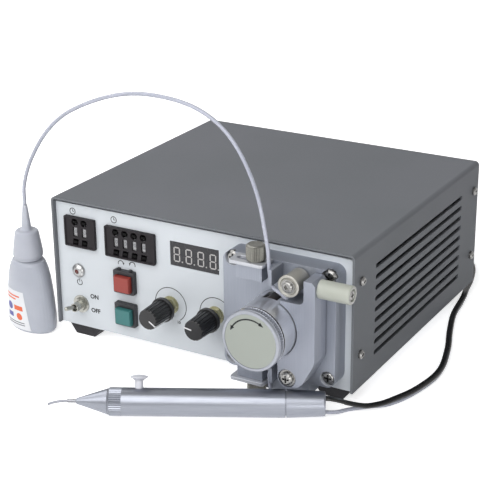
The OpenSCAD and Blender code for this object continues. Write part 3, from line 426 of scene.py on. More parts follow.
paints = {
    "coverPaint": ("77797e", "727579", 1600, (0.5, 0.6), 0.12),
    "panelPaint": ("d3d8dd", "ced3d8", 1400, (0.35, 0.45)),
    "discPaint": ("a0a59e", "9ba099", 900, (0.4, 0.5)),
}
plastics = {
    "footRubber": ("252428", "1f1e22", (0.6, 0.75)),
    "blackPlastic": ("1b1b1e", "151517", (0.25, 0.35)),
    "knobPlastic": ("1a1a1c", "141416", (0.28, 0.36)),
    "housingPlastic": ("222126", "1e1d22", (0.35, 0.45)),
    "framePlastic": ("2b282b", "242124", (0.5, 0.6), 0.2),
    # near-black: the digit keys' own colour, and painted shade on the scoop plates and the knob hub
    "keyPlastic": ("0b0a0b", "070708", (0.5, 0.6), 0.1),
    "circuitBoard": ("2c6a48", "245a3c"),
    "displayPlastic": ("38383b", "313134", (0.2, 0.3), 0.3),
    "rollerPlastic": ("35302f", "2a2625"),
    "redPlastic": ("963b33", "8e362e"),
    "greenPlastic": ("377473", "316a69"),
    "wheelPlastic": ("b4b4b6", "a6a6a8"),
    "inkBlack": ("16171a", "111214", (0.5, 0.6)),
    "inkGrey": ("808185", "77787c", (0.5, 0.6)),
    "segmentGrey": ("c2bfbe", "b7b4b3", (0.4, 0.5)),
    "pointerWhite": ("e4e4e6", "dadadd"),
    "lensRed": ("5a1c18", "481512", (0.12, 0.2)),
    # near-black painted shade, for the cover's top front edge and the screw recess walls
    "cutEdge": ("1c1c1e", "161618", (0.6, 0.7), 0.1),
    "cordRubber": ("0e0e0f", "0a0a0b", (0.2, 0.28)),
    "tieRubber": ("2a2a2c", "222224", (0.5, 0.6)),
}
plain, upwards = (1, 1, 1), (30, 30, 0.6)
metals = {
    "sheetSteel": ("a8abb0", "9a9da3", (1, 1, 30), 400, (0.4, 0.5)),
    "screwSteel": ("9c9b99", "8b8a88", plain, 400, (0.24, 0.32)),
    "knobBrass": ("b5b39b", "a8a68e", plain, 400, (0.32, 0.4), 0.85),
    "machinedAluminium": ("b9bcc2", "b0b3ba", (1, 24, 1), 400, (0.34, 0.4), 0.8),
    "drumAluminium": ("cfd1d6", "cbcdd2", (30, 0.6, 30), 60, (0.28, 0.3), 0.8, 0.0000004),
    "knobAluminium": ("a6a9b1", "9c9fa8", (1, 24, 1), 400, (0.4, 0.46), 0.7),
    "plateAluminium": ("979ba6", "9297a1", upwards, 60, (0.42, 0.48), 0.6),
    "armAluminium": ("969aa5", "9296a1", upwards, 60, (0.42, 0.48), 0.6),
    "slideAluminium": ("bfc1c6", "b8bac0", (0.8, 30, 30), 60, (0.4, 0.46), 0.55),
    # a lighter copy of the plate aluminium: painted light on the plate's counterbore walls
    "boreAluminium": ("d6d9e0", "ccd0d8", plain, 60, (0.4, 0.46), 0.25),
    "postSteel": ("aeaca5", "a8a69f", (1, 0.5, 1), 60, (0.34, 0.36), 0.7, 0.0000003),
    "switchNickel": ("a9a9a3", "9e9e98", plain, 120, (0.26, 0.3), 0.9, 0.0000005),
    "thumbSteel": ("85847e", "76756f", (1, 1, 20), 400, (0.34, 0.42), 0.85),
    "penAluminium": ("94979f", "8c8f98", (0.5, 20, 20), 120, (0.32, 0.38), 1.0, 0.000004, (0, 0, 27.3)),
    "lampChrome": ("b2b2b2", "a6a6a6", plain, 400, (0.26, 0.32)),
    "needleSteel": ("8f9095", "7c7d82", plain, 120, (0.25, 0.32)),
    "tipSteel": ("c8c8c8", "b0b0b0", plain, 400, (0.2, 0.3)),
}
milkies = {
    "handleNylon": ("b4b7ae", "abaea4", 0.003),
    "buttonNylon": ("dcdde2", "d2d3da", 0.002),
    "outletPlastic": ("a2a4ad", "999ba5", 0.001),
    "bottlePlastic": ("b8bcc7", "b0b4bf", 0.006),
    "capPlastic": ("bcbfc8", "b5b8c2", 0.004),
    "tubePlastic": ("b5b8c5", "aeb1bf", 0.001, (0.2, 0.3)),
}
kinds = ((paint, paints), (plastic, plastics), (metal, metals), (milky, milkies))
finishes = {name: make(name, *row) for make, rows in kinds for name, row in rows.items()}
# every other node has its slot's finish
nodeFinish = {
    "button_housings": "housingPlastic", "pushwheel_frames": "framePlastic", "pump_plate": "plateAluminium",
    "clamp_blocks": "plateAluminium", "pump_arm": "armAluminium", "rotor": "drumAluminium",
    "upper_slide_plate": "slideAluminium", "lower_slide_plate": "slideAluminium", "guide_post": "postSteel",
    "upper_thumb_screw": "thumbSteel", "lower_thumb_screw": "thumbSteel", "pen_barrel": "penAluminium",
    "pen_nose": "penAluminium", "pen_button": "buttonNylon", "bottle_cap": "capPlastic",
    "dispense_knob": "knobPlastic", "vacuum_knob": "knobPlastic", "toggle_switch": "switchNickel",
    "toggle_lever": "switchNickel",
}
nodeSlot = {n: o.data.materials[0].name.split(".")[0] for n, o in nodes.items()}
finishOf = {n: nodeFinish.get(n, camel(nodeSlot[n])) for n in nodes}
finishOf.update({n: "keyPlastic" for n in nodes if n.startswith("digit_key")})
for name, obj in nodes.items():
    dressed(obj, finishes[finishOf[name]])
print("materials made")

# Cords

routes = {
    "tubeDiameter": 2.4,
    "cordWidth": 4.4,
    "cordThickness": 2.2,
    "floorZ": 1.25,
    "cordZ": 3.65,
    "rotor": (66.4, -119.0, 54.2),
    "trackRadius": 20.8,
    "trackAngles": (74, 38, 2, -34, -70),
    "feed": [
        (-133.2, -98.5, 88.9), (-133.6, -97, 102), (-126, -97.5, 121), (-109.5, -99.3, 143.5),
        (-88.5, -101.7, 160), (-50, -106, 176.2), (-15.5, -110, 181), (15, -113.5, 177.2),
        (37, -116, 164), (53.6, -117.8, 137.5), (62, -118.7, 104), (64, -119, 84), (66, -119, 78),
    ],
    "under": [
        (64.2, -119, 28), (64, -118.5, 7), (64, -116, 3), (64, -108, 1.25), (64, 95, 1.25),
        (66, 112, 1.25), (76, 122, 1.25), (91, 122, 1.25), (101, 110, 1.25), (110.8, 80, 1.25),
    ],
    "side": [(115.6, 50), (123.6, 23), (133.2, -4.9), (140.1, -36), (137, -65), (129.1, -86.7)],
    "penEnd": [
        (118.2, -97, 1.25), (109.7, -105.8, 1.35), (106.7, -112.8, 2.4), (103.8, -117.7, 3.7),
        (101.71, -118.98, 4),
    ],
    "cordStart": [
        (100.93, -117.52, 12.4), (102.9, -116.4, 12.1), (107.7, -111.7, 9.7), (111, -108.4, 7.5),
        (119.3, -100.8, 4.2), (125.2, -93.8, 3.7),
    ],
    "cordEnd": [(110.8, 80), (107.6, 94), (104, 112), (97, 134), (86, 152), (72, 165), (54, 172.4)],
    "coilCentre": (30, 150),
    "coilSlots": [(26.3, 3.65), (26.3, 1.35), (21.7, 1.35), (21.7, 3.65), (21.7, 5.95), (26.3, 5.95)],
    "coilEntry": 78,
    "coilExit": 158,
    "tail": [
        (5.2, 151.5, 6.4), (3, 147, 8.5), (1.5, 143, 14), (0.5, 140, 21), (0, 135, 27),
        (0, 128, 29.6), (0, 121, 30),
    ],
}


def layPoints(spline, places):
    # smooth handles, none of them higher or lower than its own stretch
    last = len(places) - 1
    for i, point in enumerate(spline.bezier_points):
        before, here, after = places[max(i - 1, 0)], places[i], places[min(i + 1, last)]
        along = (after - before).normalized()
        if (here.z - before.z) * (after.z - here.z) <= 0 and 0 < i < last:
            along.z = 0
        left = here - along * (here - before).length / 3
        right = here + along * (after - here).length / 3
        left.z = min(max(left.z, min(here.z, before.z)), max(here.z, before.z))
        right.z = min(max(right.z, min(here.z, after.z)), max(here.z, after.z))
        point.handle_left_type = point.handle_right_type = "FREE"
        point.co, point.handle_left, point.handle_right = here, left, right


def cordLine(name, points, width, thickness=None):
    # one open bezier spline through the points, round or flat
    line = bpy.data.curves.new(name, "CURVE")
    line.dimensions = "3D"
    line.twist_mode = "Z_UP"
    line.use_fill_caps = True
    spline = line.splines.new("BEZIER")
    spline.bezier_points.add(len(points) - 1)
    spline.resolution_u = 8
    layPoints(spline, [Vector(p) * mm for p in points])
    if thickness is None:
        line.bevel_depth = width / 2 * mm
        line.bevel_resolution = 4
    else:
        line.bevel_mode = "OBJECT"
        line.bevel_object = twinSection(name + "Section", width, thickness)
    obj = bpy.data.objects.new(name, line)
    bpy.context.collection.objects.link(obj)
    return obj


def twinSection(name, width, thickness):
    # two round cores side by side with a shallow groove between them
    radius = thickness / 2
    middle = width / 2 - radius
    steps = 8
    points = []
    for side in (1, -1):
        for i in range(steps + 1):
            points.append(around(side * middle, 0, radius, -70 + 140 * i / steps + (0 if side > 0 else 180)))
        points.append((0, side * radius * 0.72))
    line = bpy.data.curves.new(name, "CURVE")
    line.dimensions = "2D"
    spline = line.splines.new("POLY")
    spline.points.add(len(points) - 1)
    for point, (x, y) in zip(spline.points, points):
        point.co = (x * mm, y * mm, 0, 1)
    spline.use_cyclic_u = True
    obj = bpy.data.objects.new(name, line)
    bpy.context.collection.objects.link(obj)
    obj.hide_render = True
    obj.hide_viewport = True
    return obj


def coilPoints(r):
    # flat cord wound turn by turn from slot to slot, a point every 24 degrees
    cx, cy = r["coilCentre"]
    slots = r["coilSlots"]
    total = (len(slots) - 1) * 360 + r["coilExit"] - r["coilEntry"]
    count = round(total / 24)
    points = []
    for i in range(count + 1):
        swept = total * i / count
        turn = min(int(swept / 360), len(slots) - 1)
        share = min(max((swept / 360 - turn - 0.75) / 0.25, 0), 1)
        share = share * share * (3 - 2 * share)
        here, there = slots[turn], slots[min(turn + 1, len(slots) - 1)]
        radius = here[0] + (there[0] - here[0]) * share
        height = here[1] + (there[1] - here[1]) * share
        points.append((*around(cx, cy, radius, r["coilEntry"] + swept), height))
    return points


def makeCords(r):
    rx, ry, rz = r["rotor"]
    track = [around(rx, rz, r["trackRadius"], a) for a in r["trackAngles"]]
    pump = [(x, ry, z) for x, z in track]
    side = [(x, y, r["floorZ"]) for x, y in r["side"]]
    tubePoints = r["feed"] + pump + r["under"] + side + r["penEnd"]
    tube = cordLine("fluidTube", tubePoints, r["tubeDiameter"])
    dressed(tube, finishes["tubePlastic"])
    sideBack = [(x, y, r["cordZ"]) for x, y in reversed(r["side"])]
    ending = [(x, y, r["cordZ"]) for x, y in r["cordEnd"]]
    cordPoints = r["cordStart"] + sideBack + ending + coilPoints(r) + r["tail"]
    cord = cordLine("penCord", cordPoints, r["cordWidth"], r["cordThickness"])
    dressed(cord, finishes["cordRubber"])
    return tube, tubePoints, cord, cordPoints


def lineLength(obj):
    # length of the curve's own line, its bevel left off
    flat = obj.copy()
    flat.data = obj.data.copy()
    flat.data.bevel_mode = "ROUND"
    flat.data.bevel_depth = 0
    bpy.context.collection.objects.link(flat)
    bpy.context.view_layer.update()
    mesh = flat.to_mesh()
    total = sum((mesh.vertices[e.vertices[0]].co - mesh.vertices[e.vertices[1]].co).length for e in mesh.edges)
    bpy.data.objects.remove(flat)
    return total


tube, tubePoints, cord, cordPoints = makeCords(routes)
ridden(tube, "machine", ["fluid_tube"])
lineLength(tube)
ridden(cord, "machine", ["pen_cord", "pen_cord_coil", "pen_cord_tail"])
lineLength(cord)
print("cords laid: tube", round(lineLength(tube), 3), "cord", round(lineLength(cord), 3))

# Tie round the coil

coilTie = {"angle": 205, "middle": 24, "width": 5, "inner": (9.6, 7.3), "thickness": 0.7, "corner": 2.2,
           "edge": 0.2, "bottom": 0.05}


def makeCoilTie(t):
    wide, high = (v + 2 * t["thickness"] for v in t["inner"])
    tie = block("coilTie", wide, t["width"], high)
    pickFaces(tie, lambda c, n: abs(n.y) > 0.9)
    bpy.ops.mesh.delete(type="ONLY_FACE")
    pickEdges(tie, lambda a, b: abs(a.y - b.y) > 1)
    bpy.ops.mesh.bevel(offset=t["corner"] * mm, segments=5)
    done()
    applied(tie, "SOLIDIFY", thickness=t["thickness"] * mm, offset=-1)
    applied(tie, "BEVEL", width=t["edge"] * mm, segments=2, limit_method="ANGLE", angle_limit=math.radians(50))
    place = (*around(*routes["coilCentre"], t["middle"], t["angle"]), high / 2 + t["bottom"])
    placed(tie, place, (0, 0, t["angle"]))
    ridden(dressed(smoothed(tie), finishes["tieRubber"]), "machine")


makeCoilTie(coilTie)

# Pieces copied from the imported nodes, their edges broken

softEdges = {
    "pump_plate": (0.8, 3), "pump_arm": (0.15, 2), "clamp_blocks": (0.3, 2), "upper_slide_plate": (0.4, 2),
    "lower_slide_plate": (0.4, 2), "arm_handle": (0.5, 2), "button_housings": (0.3, 2), "red_button": (0.5, 2),
    "green_button": (0.5, 2), "pushwheel_frames": (0.2, 2), "top_cover": (0.3, 2), "rubber_feet": (0.8, 2),
    "display_module": (0.15, 1), "guide_post": (0.12, 1), "pump_screws": (0.05, 1), "arm_pivot": (0.05, 1),
    "upper_thumb_screw": (0.1, 1), "lower_thumb_screw": (0.1, 1), "rotor": (0.25, 2),
}
flatEdges = {"upper_thumb_screw": 16, "lower_thumb_screw": 16}


def carried(nodeName):
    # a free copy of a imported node, its triangles merged into plain faces
    piece = copied(nodes[nodeName], camel(nodeName))
    editing(piece)
    bpy.ops.mesh.remove_doubles(threshold=0.000002)
    bpy.ops.mesh.dissolve_limited(angle_limit=math.radians(1))
    done(outwards=False)
    return piece


def softened(nodeName, width, segments):
    piece = carried(nodeName)
    applied(piece, "BEVEL", width=width * mm, segments=segments, limit_method="ANGLE",
            angle_limit=math.radians(35), use_clamp_overlap=True)
    smoothed(piece, flatEdges.get(nodeName, 40))
    applied(piece, "WEIGHTED_NORMAL", keep_sharp=True)
    return stoodFor(piece, nodeName)


def partly(piece, finish, test):
    # the faces that pass the test get a finish of their own
    piece.data.materials.append(finishes[finish])
    pickFaces(piece, test)
    piece.active_material_index = len(piece.data.materials) - 1
    bpy.ops.object.material_slot_assign()
    bpy.ops.object.mode_set(mode="OBJECT")


def facesAxis(c, n, x, z, radius):
    # a wall within that radius of an axis along Y, its normal towards the axis
    across, up = c.x - x, c.z - z
    return abs(n.y) < 0.5 and math.hypot(across, up) < radius and across * n.x + up * n.z < 0


panelEdge = {"right": 108.0, "top": 94.5, "front": -96.95, "corner": 3.5, "roll": 1.3}


def makePanel(p):
    # the front sheet's right end is rolled back, its upper corner rounded
    panel = carried("front_panel")
    near = p["corner"] + 1
    pickEdges(panel, lambda a, b: min(a.x, b.x) > p["right"] and min(a.z, b.z) > p["top"]
              and abs(a.y - b.y) > 1)
    bpy.ops.mesh.bevel(offset=p["corner"] * mm, segments=6)
    done()
    pickEdges(panel, lambda a, b: max(a.y, b.y) < p["front"] and min(a.x, b.x) > p["right"] - near
              and (min(a.x, b.x) > p["right"] or min(a.z, b.z) > p["top"] - near))
    bpy.ops.mesh.bevel(offset=p["roll"] * mm, segments=4)
    done()
    smoothed(panel, 40)
    applied(panel, "WEIGHTED_NORMAL", keep_sharp=True)
    stoodFor(panel, "front_panel")


makePanel(panelEdge)
soft = {name: softened(name, width, segments) for name, (width, segments) in softEdges.items()}

plateScrews = [(x, z) for x in (33.2, 98.2) for z in (21.3, 87.0)]
handleScrew = {"end": 115, "y": -118.5, "z": 83.0, "radius": 3.5}
coverEdgeShade = {"above": 96.4, "front": -0.8}
# own finishes on bore and recess walls: painted light on the plate's counterbore walls, painted shade on the
# screw recess walls
boreLightAndShade = {
    "pump_plate": ("boreAluminium", 4.9, plateScrews),
    "pump_screws": ("cutEdge", 2.6, plateScrews),
    "arm_pivot": ("cutEdge", 2.6, [(79, 24)]),
}
partly(soft["arm_handle"], "screwSteel", lambda c, n: c.x > handleScrew["end"]
       and math.hypot(c.y - handleScrew["y"], c.z - handleScrew["z"]) < handleScrew["radius"])
# the cover's top front edge faces are painted near-black: painted shade of the gap above the panel
partly(soft["top_cover"], "cutEdge", lambda c, n: c.z > coverEdgeShade["above"] and n.y < coverEdgeShade["front"])
for name, (finish, radius, axes) in boreLightAndShade.items():
    partly(soft[name], finish, lambda c, n: any(facesAxis(c, n, x, z, radius) for x, z in axes))

buttonRise = {"names": ["red_button", "green_button"], "by": 1.5, "front": 2.2}
for name in buttonRise["names"]:
    front = min(point.co.y for point in soft[name].data.vertices) / mm
    pickPoints(soft[name], lambda c: c.y < front + buttonRise["front"])
    bpy.ops.transform.translate(value=(0, -buttonRise["by"] * mm, 0))
    done(outwards=False)
print("edges broken")

# Pen: turned barrel with a knurled grip, a needle and a soft outlet that droops

pen = {
    "at": (-15.1, -177.4),
    "radius": 8.6,
    "turn": 27.3,
    "roll": 20,
    "sides": 76,
    "barrel": [(0, 7.7), (0.8, 8.3), (1.0, 8.58), (1.1, 8.58), (8.5, 8.58), (8.6, 8.58), (8.8, 8.6), (106.4, 8.6),
               (106.5, 8.5), (106.5, 7.4), (107.1, 7.4), (107.1, 8.5), (107.2, 8.6), (129.5, 7.55), (130.4, 7.15),
               (130.5, 7.0)],
    "knurl": (1.05, 8.55, 0.94),
    "buttonAt": 18.7,
    "stemHole": {"radius": 2.9, "depth": 20, "middle": 7},
    "needle": [(18.9, 1.1), (24.3, 1.1), (24.7, 0.95), (24.7, 0.6)],
    "outlet": [(24, 0.8)] + [(24 + 0.9 * i, 0.8) for i in range(1, 15)] + [(36.6, 0.45), (35.8, 0.42)],
    "droopFrom": 25,
    "droop": 2.4,
}


def penPlace(p, outwards=True):
    # local Z runs along the pen, outwards through its nose, and local X points down
    x, y = p["at"]
    place = Matrix.Translation((x * mm, y * mm, p["radius"] * mm))
    place = place @ Matrix.Rotation(math.radians(p["turn"]), 4, "Z") @ Matrix.Rotation(math.radians(90), 4, "Y")
    return place @ Matrix.Rotation(math.radians(180), 4, "X") if outwards else place


def makeBarrel(p):
    barrel = turned("penBarrel", p["barrel"], p["sides"])
    knurled(barrel, p["sides"], *p["knurl"])
    smoothed(barrel, 15)
    barrel.matrix_world = penPlace(p, False)
    settled(barrel)
    hole = p["stemHole"]
    place = (penPlace(p, False) @ Matrix.Translation((0, 0, p["buttonAt"] * mm))
             @ Matrix.Rotation(math.radians(-p["roll"]), 4, "Z") @ Matrix.Rotation(math.radians(-90), 4, "Y")
             @ Matrix.Translation((0, 0, hole["middle"] * mm)))
    pierced(barrel, hole["radius"], hole["depth"], place)
    stoodFor(barrel, "pen_barrel")


def makeNeedle(p):
    needle = turned("penNeedle", p["needle"], 32)
    outlet = turned("penOutlet", p["outlet"], 24)
    length = p["outlet"][-3][0] - p["droopFrom"]
    for point in outlet.data.vertices:
        past = max(point.co.z / mm - p["droopFrom"], 0) / length
        point.co.x += p["droop"] * past * past * mm
    for piece, finish, stands in (needle, "needleSteel", ["pen_tip"]), (outlet, "outletPlastic", []):
        piece.matrix_world = penPlace(p)
        smoothed(settled(piece), 40)
        ridden(dressed(piece, finishes[finish]), bodyOf["pen_tip"], stands)


makeBarrel(pen)
makeNeedle(pen)
print("pen made")

# Prints on the front panel: thin ink, drawn flat and then turned to the front

ink = {"depth": 0.08, "line": 0.5, "bold": 0.035, "head": 1.0, "headShape": (0.8, 1.15, 1), "panelY": -96.97}


def inkBar(x, z, length, width, turn=0, depth=None):
    depth = depth or ink["depth"]
    return placed(block("inkBar", length, width, depth), (x, z, depth / 2), (0, 0, turn))


def inkArc(x, z, radius, start, sweep, width=None):
    depth = ink["depth"]
    bpy.ops.object.select_all(action="DESELECT")
    bpy.ops.mesh.primitive_plane_add(size=1, rotation=(math.radians(90), 0, 0),
                                     location=(radius * mm, 0, depth / 2 * mm))
    arc = named("inkArc")
    arc.scale = ((width or ink["line"]) * mm, depth * mm, 1)
    settled(arc)
    editing(arc)
    bpy.ops.mesh.spin(steps=max(6, round(abs(sweep) / 6)), angle=-math.radians(sweep), center=(0, 0, 0),
                      axis=(0, 0, 1))
    if abs(sweep) >= 360:
        bpy.ops.mesh.select_all(action="SELECT")
        bpy.ops.mesh.remove_doubles(threshold=0.000001)
    done()
    return placed(arc, (x, z, 0), (0, 0, start))


def inkText(text, x, z, size, depth=None):
    half = (depth or ink["depth"]) / 2
    bpy.ops.object.select_all(action="DESELECT")
    bpy.ops.object.text_add()
    words = bpy.context.object
    words.data.body = text
    words.data.size = size * mm
    words.data.align_x = words.data.align_y = "CENTER"
    words.data.extrude = half * mm
    words.data.offset = size * ink["bold"] * mm
    words.data.resolution_u = 3
    bpy.ops.object.convert(target="MESH")
    words = bpy.context.object
    editing(words)
    bpy.ops.mesh.remove_doubles(threshold=0.000001)
    done()
    return placed(words, (x, z, half))


def inkHead(x, z, size, turn):
    # triangle that points along turn
    bpy.ops.object.select_all(action="DESELECT")
    bpy.ops.mesh.primitive_circle_add(vertices=3, radius=size * mm, fill_type="NGON")
    head = named("inkHead")
    editing(head)
    bpy.ops.mesh.extrude_region_move(TRANSFORM_OT_translate={"value": (0, 0, ink["depth"] * mm)})
    done()
    head.scale = ink["headShape"]
    return placed(head, (x, z, 0), (0, 0, turn - 90))


def inkArrow(x, z, radius, start, sweep, width=None, head=None, both=False):
    pieces = [inkArc(x, z, radius, start, sweep, width)]
    ahead = math.copysign(90, sweep)
    ends = [(start + sweep, ahead), (start, -ahead)]
    for degrees, turn in ends if both else ends[:1]:
        pieces.append(inkHead(*around(x, z, radius, degrees), head or ink["head"], degrees + turn))
    return pieces


panelPrint = {
    "knobs": [(-20.8, 39.4), (12.8, 39.4)],
    "scaleRadius": 11.7,
    "scaleStart": -55,
    "scaleSweep": 285,
    "numbers": [("10", -62, 0.3, -1), ("0", 238, 0, 0)],
    "number": 2.6,
    "words": [("ON", -81.0, 32.0), ("OFF", -80.5, 22.0)],
    "word": 4.2,
    "round": 2.1,
    "arrows": [(-58.4, 60.4, 200, -190), (-49.4, 61.0, -20, 190)],
    "clocks": [(-95.0, 90.3), (-62.5, 90.0)],
    "hands": [(0, 0.7, 1.6, 90), (0.6, 0, 1.4, 0)],
    "hand": 0.45,
    "lampRing": (-92.4, 40.6, 2.0, 120, 300),
    "lampBar": (-92.4, 41.9, 2.4, 0.5, 90),
}


def makePanelPrint(p):
    pieces = [inkArc(*p["lampRing"]), inkBar(*p["lampBar"])]
    radius = p["scaleRadius"]
    for x, z in p["knobs"]:
        pieces.append(inkArc(x, z, radius, p["scaleStart"], p["scaleSweep"]))
        for text, angle, right, up in p["numbers"]:
            edgeX, edgeZ = around(x, z, radius, angle)
            pieces.append(inkText(text, edgeX + right, edgeZ + up, p["number"]))
    for text, x, z in p["words"]:
        pieces.append(inkText(text, x, z, p["word"]))
    for x, z, start, sweep in p["arrows"]:
        pieces += inkArrow(x, z, p["round"], start, sweep)
    for x, z in p["clocks"]:
        pieces.append(inkArc(x, z, p["round"], 0, 360))
        for right, up, length, turn in p["hands"]:
            pieces.append(inkBar(x + right, z + up, length, p["hand"], turn))
    piece = onFront(joined("panelPrint", pieces), y=ink["panelY"])
    ridden(dressed(piece, finishes["inkBlack"]), "machine")


makePanelPrint(panelPrint)
print("panel printed")

# Display

display = {
    "left": -17.2,
    "low": 70.3,
    "pitch": 8.83,
    "width": 4.7,
    "height": 10.0,
    "stroke": 0.75,
    "gap": 0.25,
    "pointed": 0.42,
    "dot": 1.1,
    "dotAway": 1.6,
    "faceY": -97.18,
    "depth": 0.12,
}


def makeDigits(d):
    w, h, t, gap = d["width"], d["height"], d["stroke"], d["gap"]
    across = w - t - 2 * gap
    upright = h / 2 - t / 2 - 2 * gap
    layout = [(w / 2, z, across, 0) for z in (h - t / 2, h / 2, t / 2)]
    layout += [(x, z, upright, 90) for z in (h * 0.75 - t / 8, h * 0.25 + t / 8) for x in (t / 2, w - t / 2)]
    pieces = []
    for i in range(4):
        x0, z0 = d["left"] + i * d["pitch"], d["low"]
        for x, z, length, turn in layout:
            bar = inkBar(0, 0, length, t, 0, d["depth"])
            pickEdges(bar, lambda a, b: abs(a.z - b.z) > d["depth"] / 2)
            bpy.ops.mesh.bevel(offset=t * d["pointed"] * mm, segments=1)
            done()
            pieces.append(placed(bar, (x0 + x, z0 + z, 0), (0, 0, turn)))
        pieces.append(inkBar(x0 + w + d["dotAway"], z0 + t / 2, t * d["dot"], t * d["dot"], 0, d["depth"]))
    piece = onFront(joined("displayDigits", pieces), y=d["faceY"])
    ridden(dressed(piece, finishes["segmentGrey"]), "machine")


makeDigits(display)
print("display drawn")

# Digit wheels, each with its ten numbers

wheels = {
    "places": [(-92.4, 76.8), (-85.3, 76.8), (-60.35, 75.4), (-53.25, 75.4), (-46.15, 75.4), (-39.05, 75.4)],
    "y": -89.8,
    "radius": 8.6,
    "width": 3.0,
    "rim": 1.2,
    "hollow": 0.4,
    "bore": 1.1,
    "edge": 0.15,
    "halfFlat": 18,
    "number": 3.6,
    "numberDepth": 0.06,
    "numberSunk": 0.02,
}


def makeWheel(w):
    # a drum of ten flats, hollow at both ends, its pin hole through the middle
    bpy.ops.object.select_all(action="DESELECT")
    bpy.ops.mesh.primitive_cylinder_add(vertices=10, radius=w["radius"] * mm, depth=w["width"] * mm)
    wheel = named("wheel")
    pickFaces(wheel, lambda c, n: abs(n.z) > 0.9)
    bpy.ops.mesh.inset(thickness=w["rim"] * mm)
    bpy.ops.mesh.extrude_region_shrink_fatten(TRANSFORM_OT_shrink_fatten={"value": -w["hollow"] * mm})
    done()
    pierced(wheel, w["bore"], w["width"] * 2)
    applied(wheel, "BEVEL", width=w["edge"] * mm, segments=2, limit_method="ANGLE", angle_limit=math.radians(30))
    placed(wheel, turn=(0, 90, 0))
    # one flat faces the front
    placed(wheel, turn=(w["halfFlat"], 0, 0))
    return dressed(smoothed(wheel, 30), finishes["wheelPlastic"])


def makeWheelNumbers(w):
    flat = w["radius"] * math.cos(math.radians(w["halfFlat"]))
    pieces = []
    for number in range(10):
        text = inkText(str(number), 0, 0, w["number"], w["numberDepth"])
        onFront(text, y=w["numberSunk"] - flat)
        pieces.append(placed(text, turn=(2 * w["halfFlat"] * number, 0, 0)))
    return dressed(joined("numbers", pieces), finishes["inkGrey"])


wheel = makeWheel(wheels)
numbers = makeWheelNumbers(wheels)
for i, (x, z) in enumerate(wheels["places"], 1):
    node = "digit_wheel_%d" % i
    for source, name, slot, stands in (
        (wheel, "digitWheel%d" % i, "wheel_plastic", [node]),
        (numbers, "wheelNumbers%d" % i, "black_plastic", []),
    ):
        ridden(placed(copied(source, name), (x, wheels["y"], z)), bodyOf[node], stands)
bpy.data.objects.remove(wheel)
bpy.data.objects.remove(numbers)
print("wheels made")

# Black plates closing the finger scoops above the wheels: painted shade in the scoops

scoopShadePlate = {"wide": 4.4, "middle": -0.25, "low": (4.3, 5.1, -97.5), "high": (6.8, 9.4, -95.35), "thick": 0.22,
         "edge": 0.05}


def makeScoopFloors(p):
    pieces = []
    for x, z in wheels["places"]:
        for low, high, y in (p["low"], p["high"]):
            middle = (x + p["middle"], y + p["thick"] / 2, z + (low + high) / 2)
            floor = block("floorPart", p["wide"], p["thick"], high - low, middle)
            pieces.append(applied(floor, "BEVEL", width=p["edge"] * mm, segments=1))
    ridden(dressed(joined("scoopFloors", pieces), finishes["keyPlastic"]), "machine")


makeScoopFloors(scoopShadePlate)
print("scoops closed")

# Lamp: polished ring with a small lens in it

lamp = {
    "place": (-92.4, -97, 49.0),
    "ring": [(-8, 4.0), (0, 4.0), (0.02, 4.9), (0.5, 4.9), (1.0, 4.8), (1.6, 4.4), (2.2, 3.8), (2.7, 3.1),
             (3.1, 2.4), (3.2, 1.9), (3.1, 1.7), (2.6, 1.5)],
    "lens": [(2.0, 1.6), (2.7, 1.6), (2.9, 1.3), (3.05, 0.9), (3.1, 0.4)],
}


def makeLamp(p):
    ring = onFront(turned("lampRing", p["ring"]), *p["place"])
    ridden(dressed(smoothed(ring, 50), finishes["lampChrome"]), "machine", ["power_led"])
    lens = onFront(turned("lampLens", p["lens"], 32), *p["place"])
    ridden(dressed(smoothed(lens, 60), finishes["lensRed"]), "machine")


makeLamp(lamp)
print("lamp made")

# Pointers inlaid in the two control knobs

pointer = {
    "knobs": [("leftPointer", "dispense_knob", -20.8, -33), ("rightPointer", "vacuum_knob", 12.8, 171)],
    "z": 39.4,
    "faceY": -124.32,
    "width": 0.9,
    "inner": 1.3,
    "outer": 6.5,
    "bend": 0.25,
    "skirtY": -108.9,
    "skirtRadius": 7.0,
    "depth": 0.5,
    "edge": 0.06,
}


def makePointer(p, name, node, x, turn):
    middle = ((p["inner"] + p["outer"]) / 2, 0, -p["depth"] / 2)
    strip = block(name, p["outer"] - p["inner"], p["width"], p["depth"], middle)
    # its outer end is drawn down along the knob's side to the skirt
    pickFaces(strip, lambda c, n: n.x > 0.9)
    bpy.ops.mesh.extrude_region_move(TRANSFORM_OT_translate={"value": (p["bend"] * mm, 0, 0)})
    done()
    pickFaces(strip, lambda c, n: n.z < -0.9 and c.x > p["outer"])
    outwards = p["skirtRadius"] - p["outer"]
    down = p["faceY"] - p["skirtY"] + p["depth"]
    bpy.ops.mesh.extrude_region_move(TRANSFORM_OT_translate={"value": (outwards * mm, 0, down * mm)})
    done()
    applied(strip, "BEVEL", width=p["edge"] * mm, segments=1, limit_method="ANGLE", angle_limit=math.radians(50))
    onFront(strip, x, p["faceY"], p["z"], turn)
    ridden(dressed(strip, finishes["pointerWhite"]), bodyOf[node])


for row in pointer["knobs"]:
    makePointer(pointer, *row)
print("pointers set in")

# Hand knob: a knurled band before a plain rim, a grub screw in its side

handKnob = {
    "centre": (66.4, 54.2),
    "backY": -139.5,
    "steps": [(0, 18.7), (1.2, 18.7), (1.25, 18.8), (1.5, 18.95), (1.7, 18.97), (5.4, 18.97), (5.55, 18.95),
              (5.7, 18.7), (5.9, 18.7), (6.05, 18.97), (7.2, 18.97), (7.75, 18.7), (8.0, 18.1), (8.0, 17.12),
              (7.6, 17.1)],
    "sides": 144,
    "knurl": (1.65, 5.45, 0.962),
    "hubRadius": 18.75,
    "hubDepth": 1.22,
    "screw": [(-3, 1.25), (0.2, 1.25), (0.4, 1.05), (0.4, 0.7), (-0.6, 0.68)],
    "screwTurn": 112,
    "screwAway": 18.9,
    "screwDepth": 3.6,
}


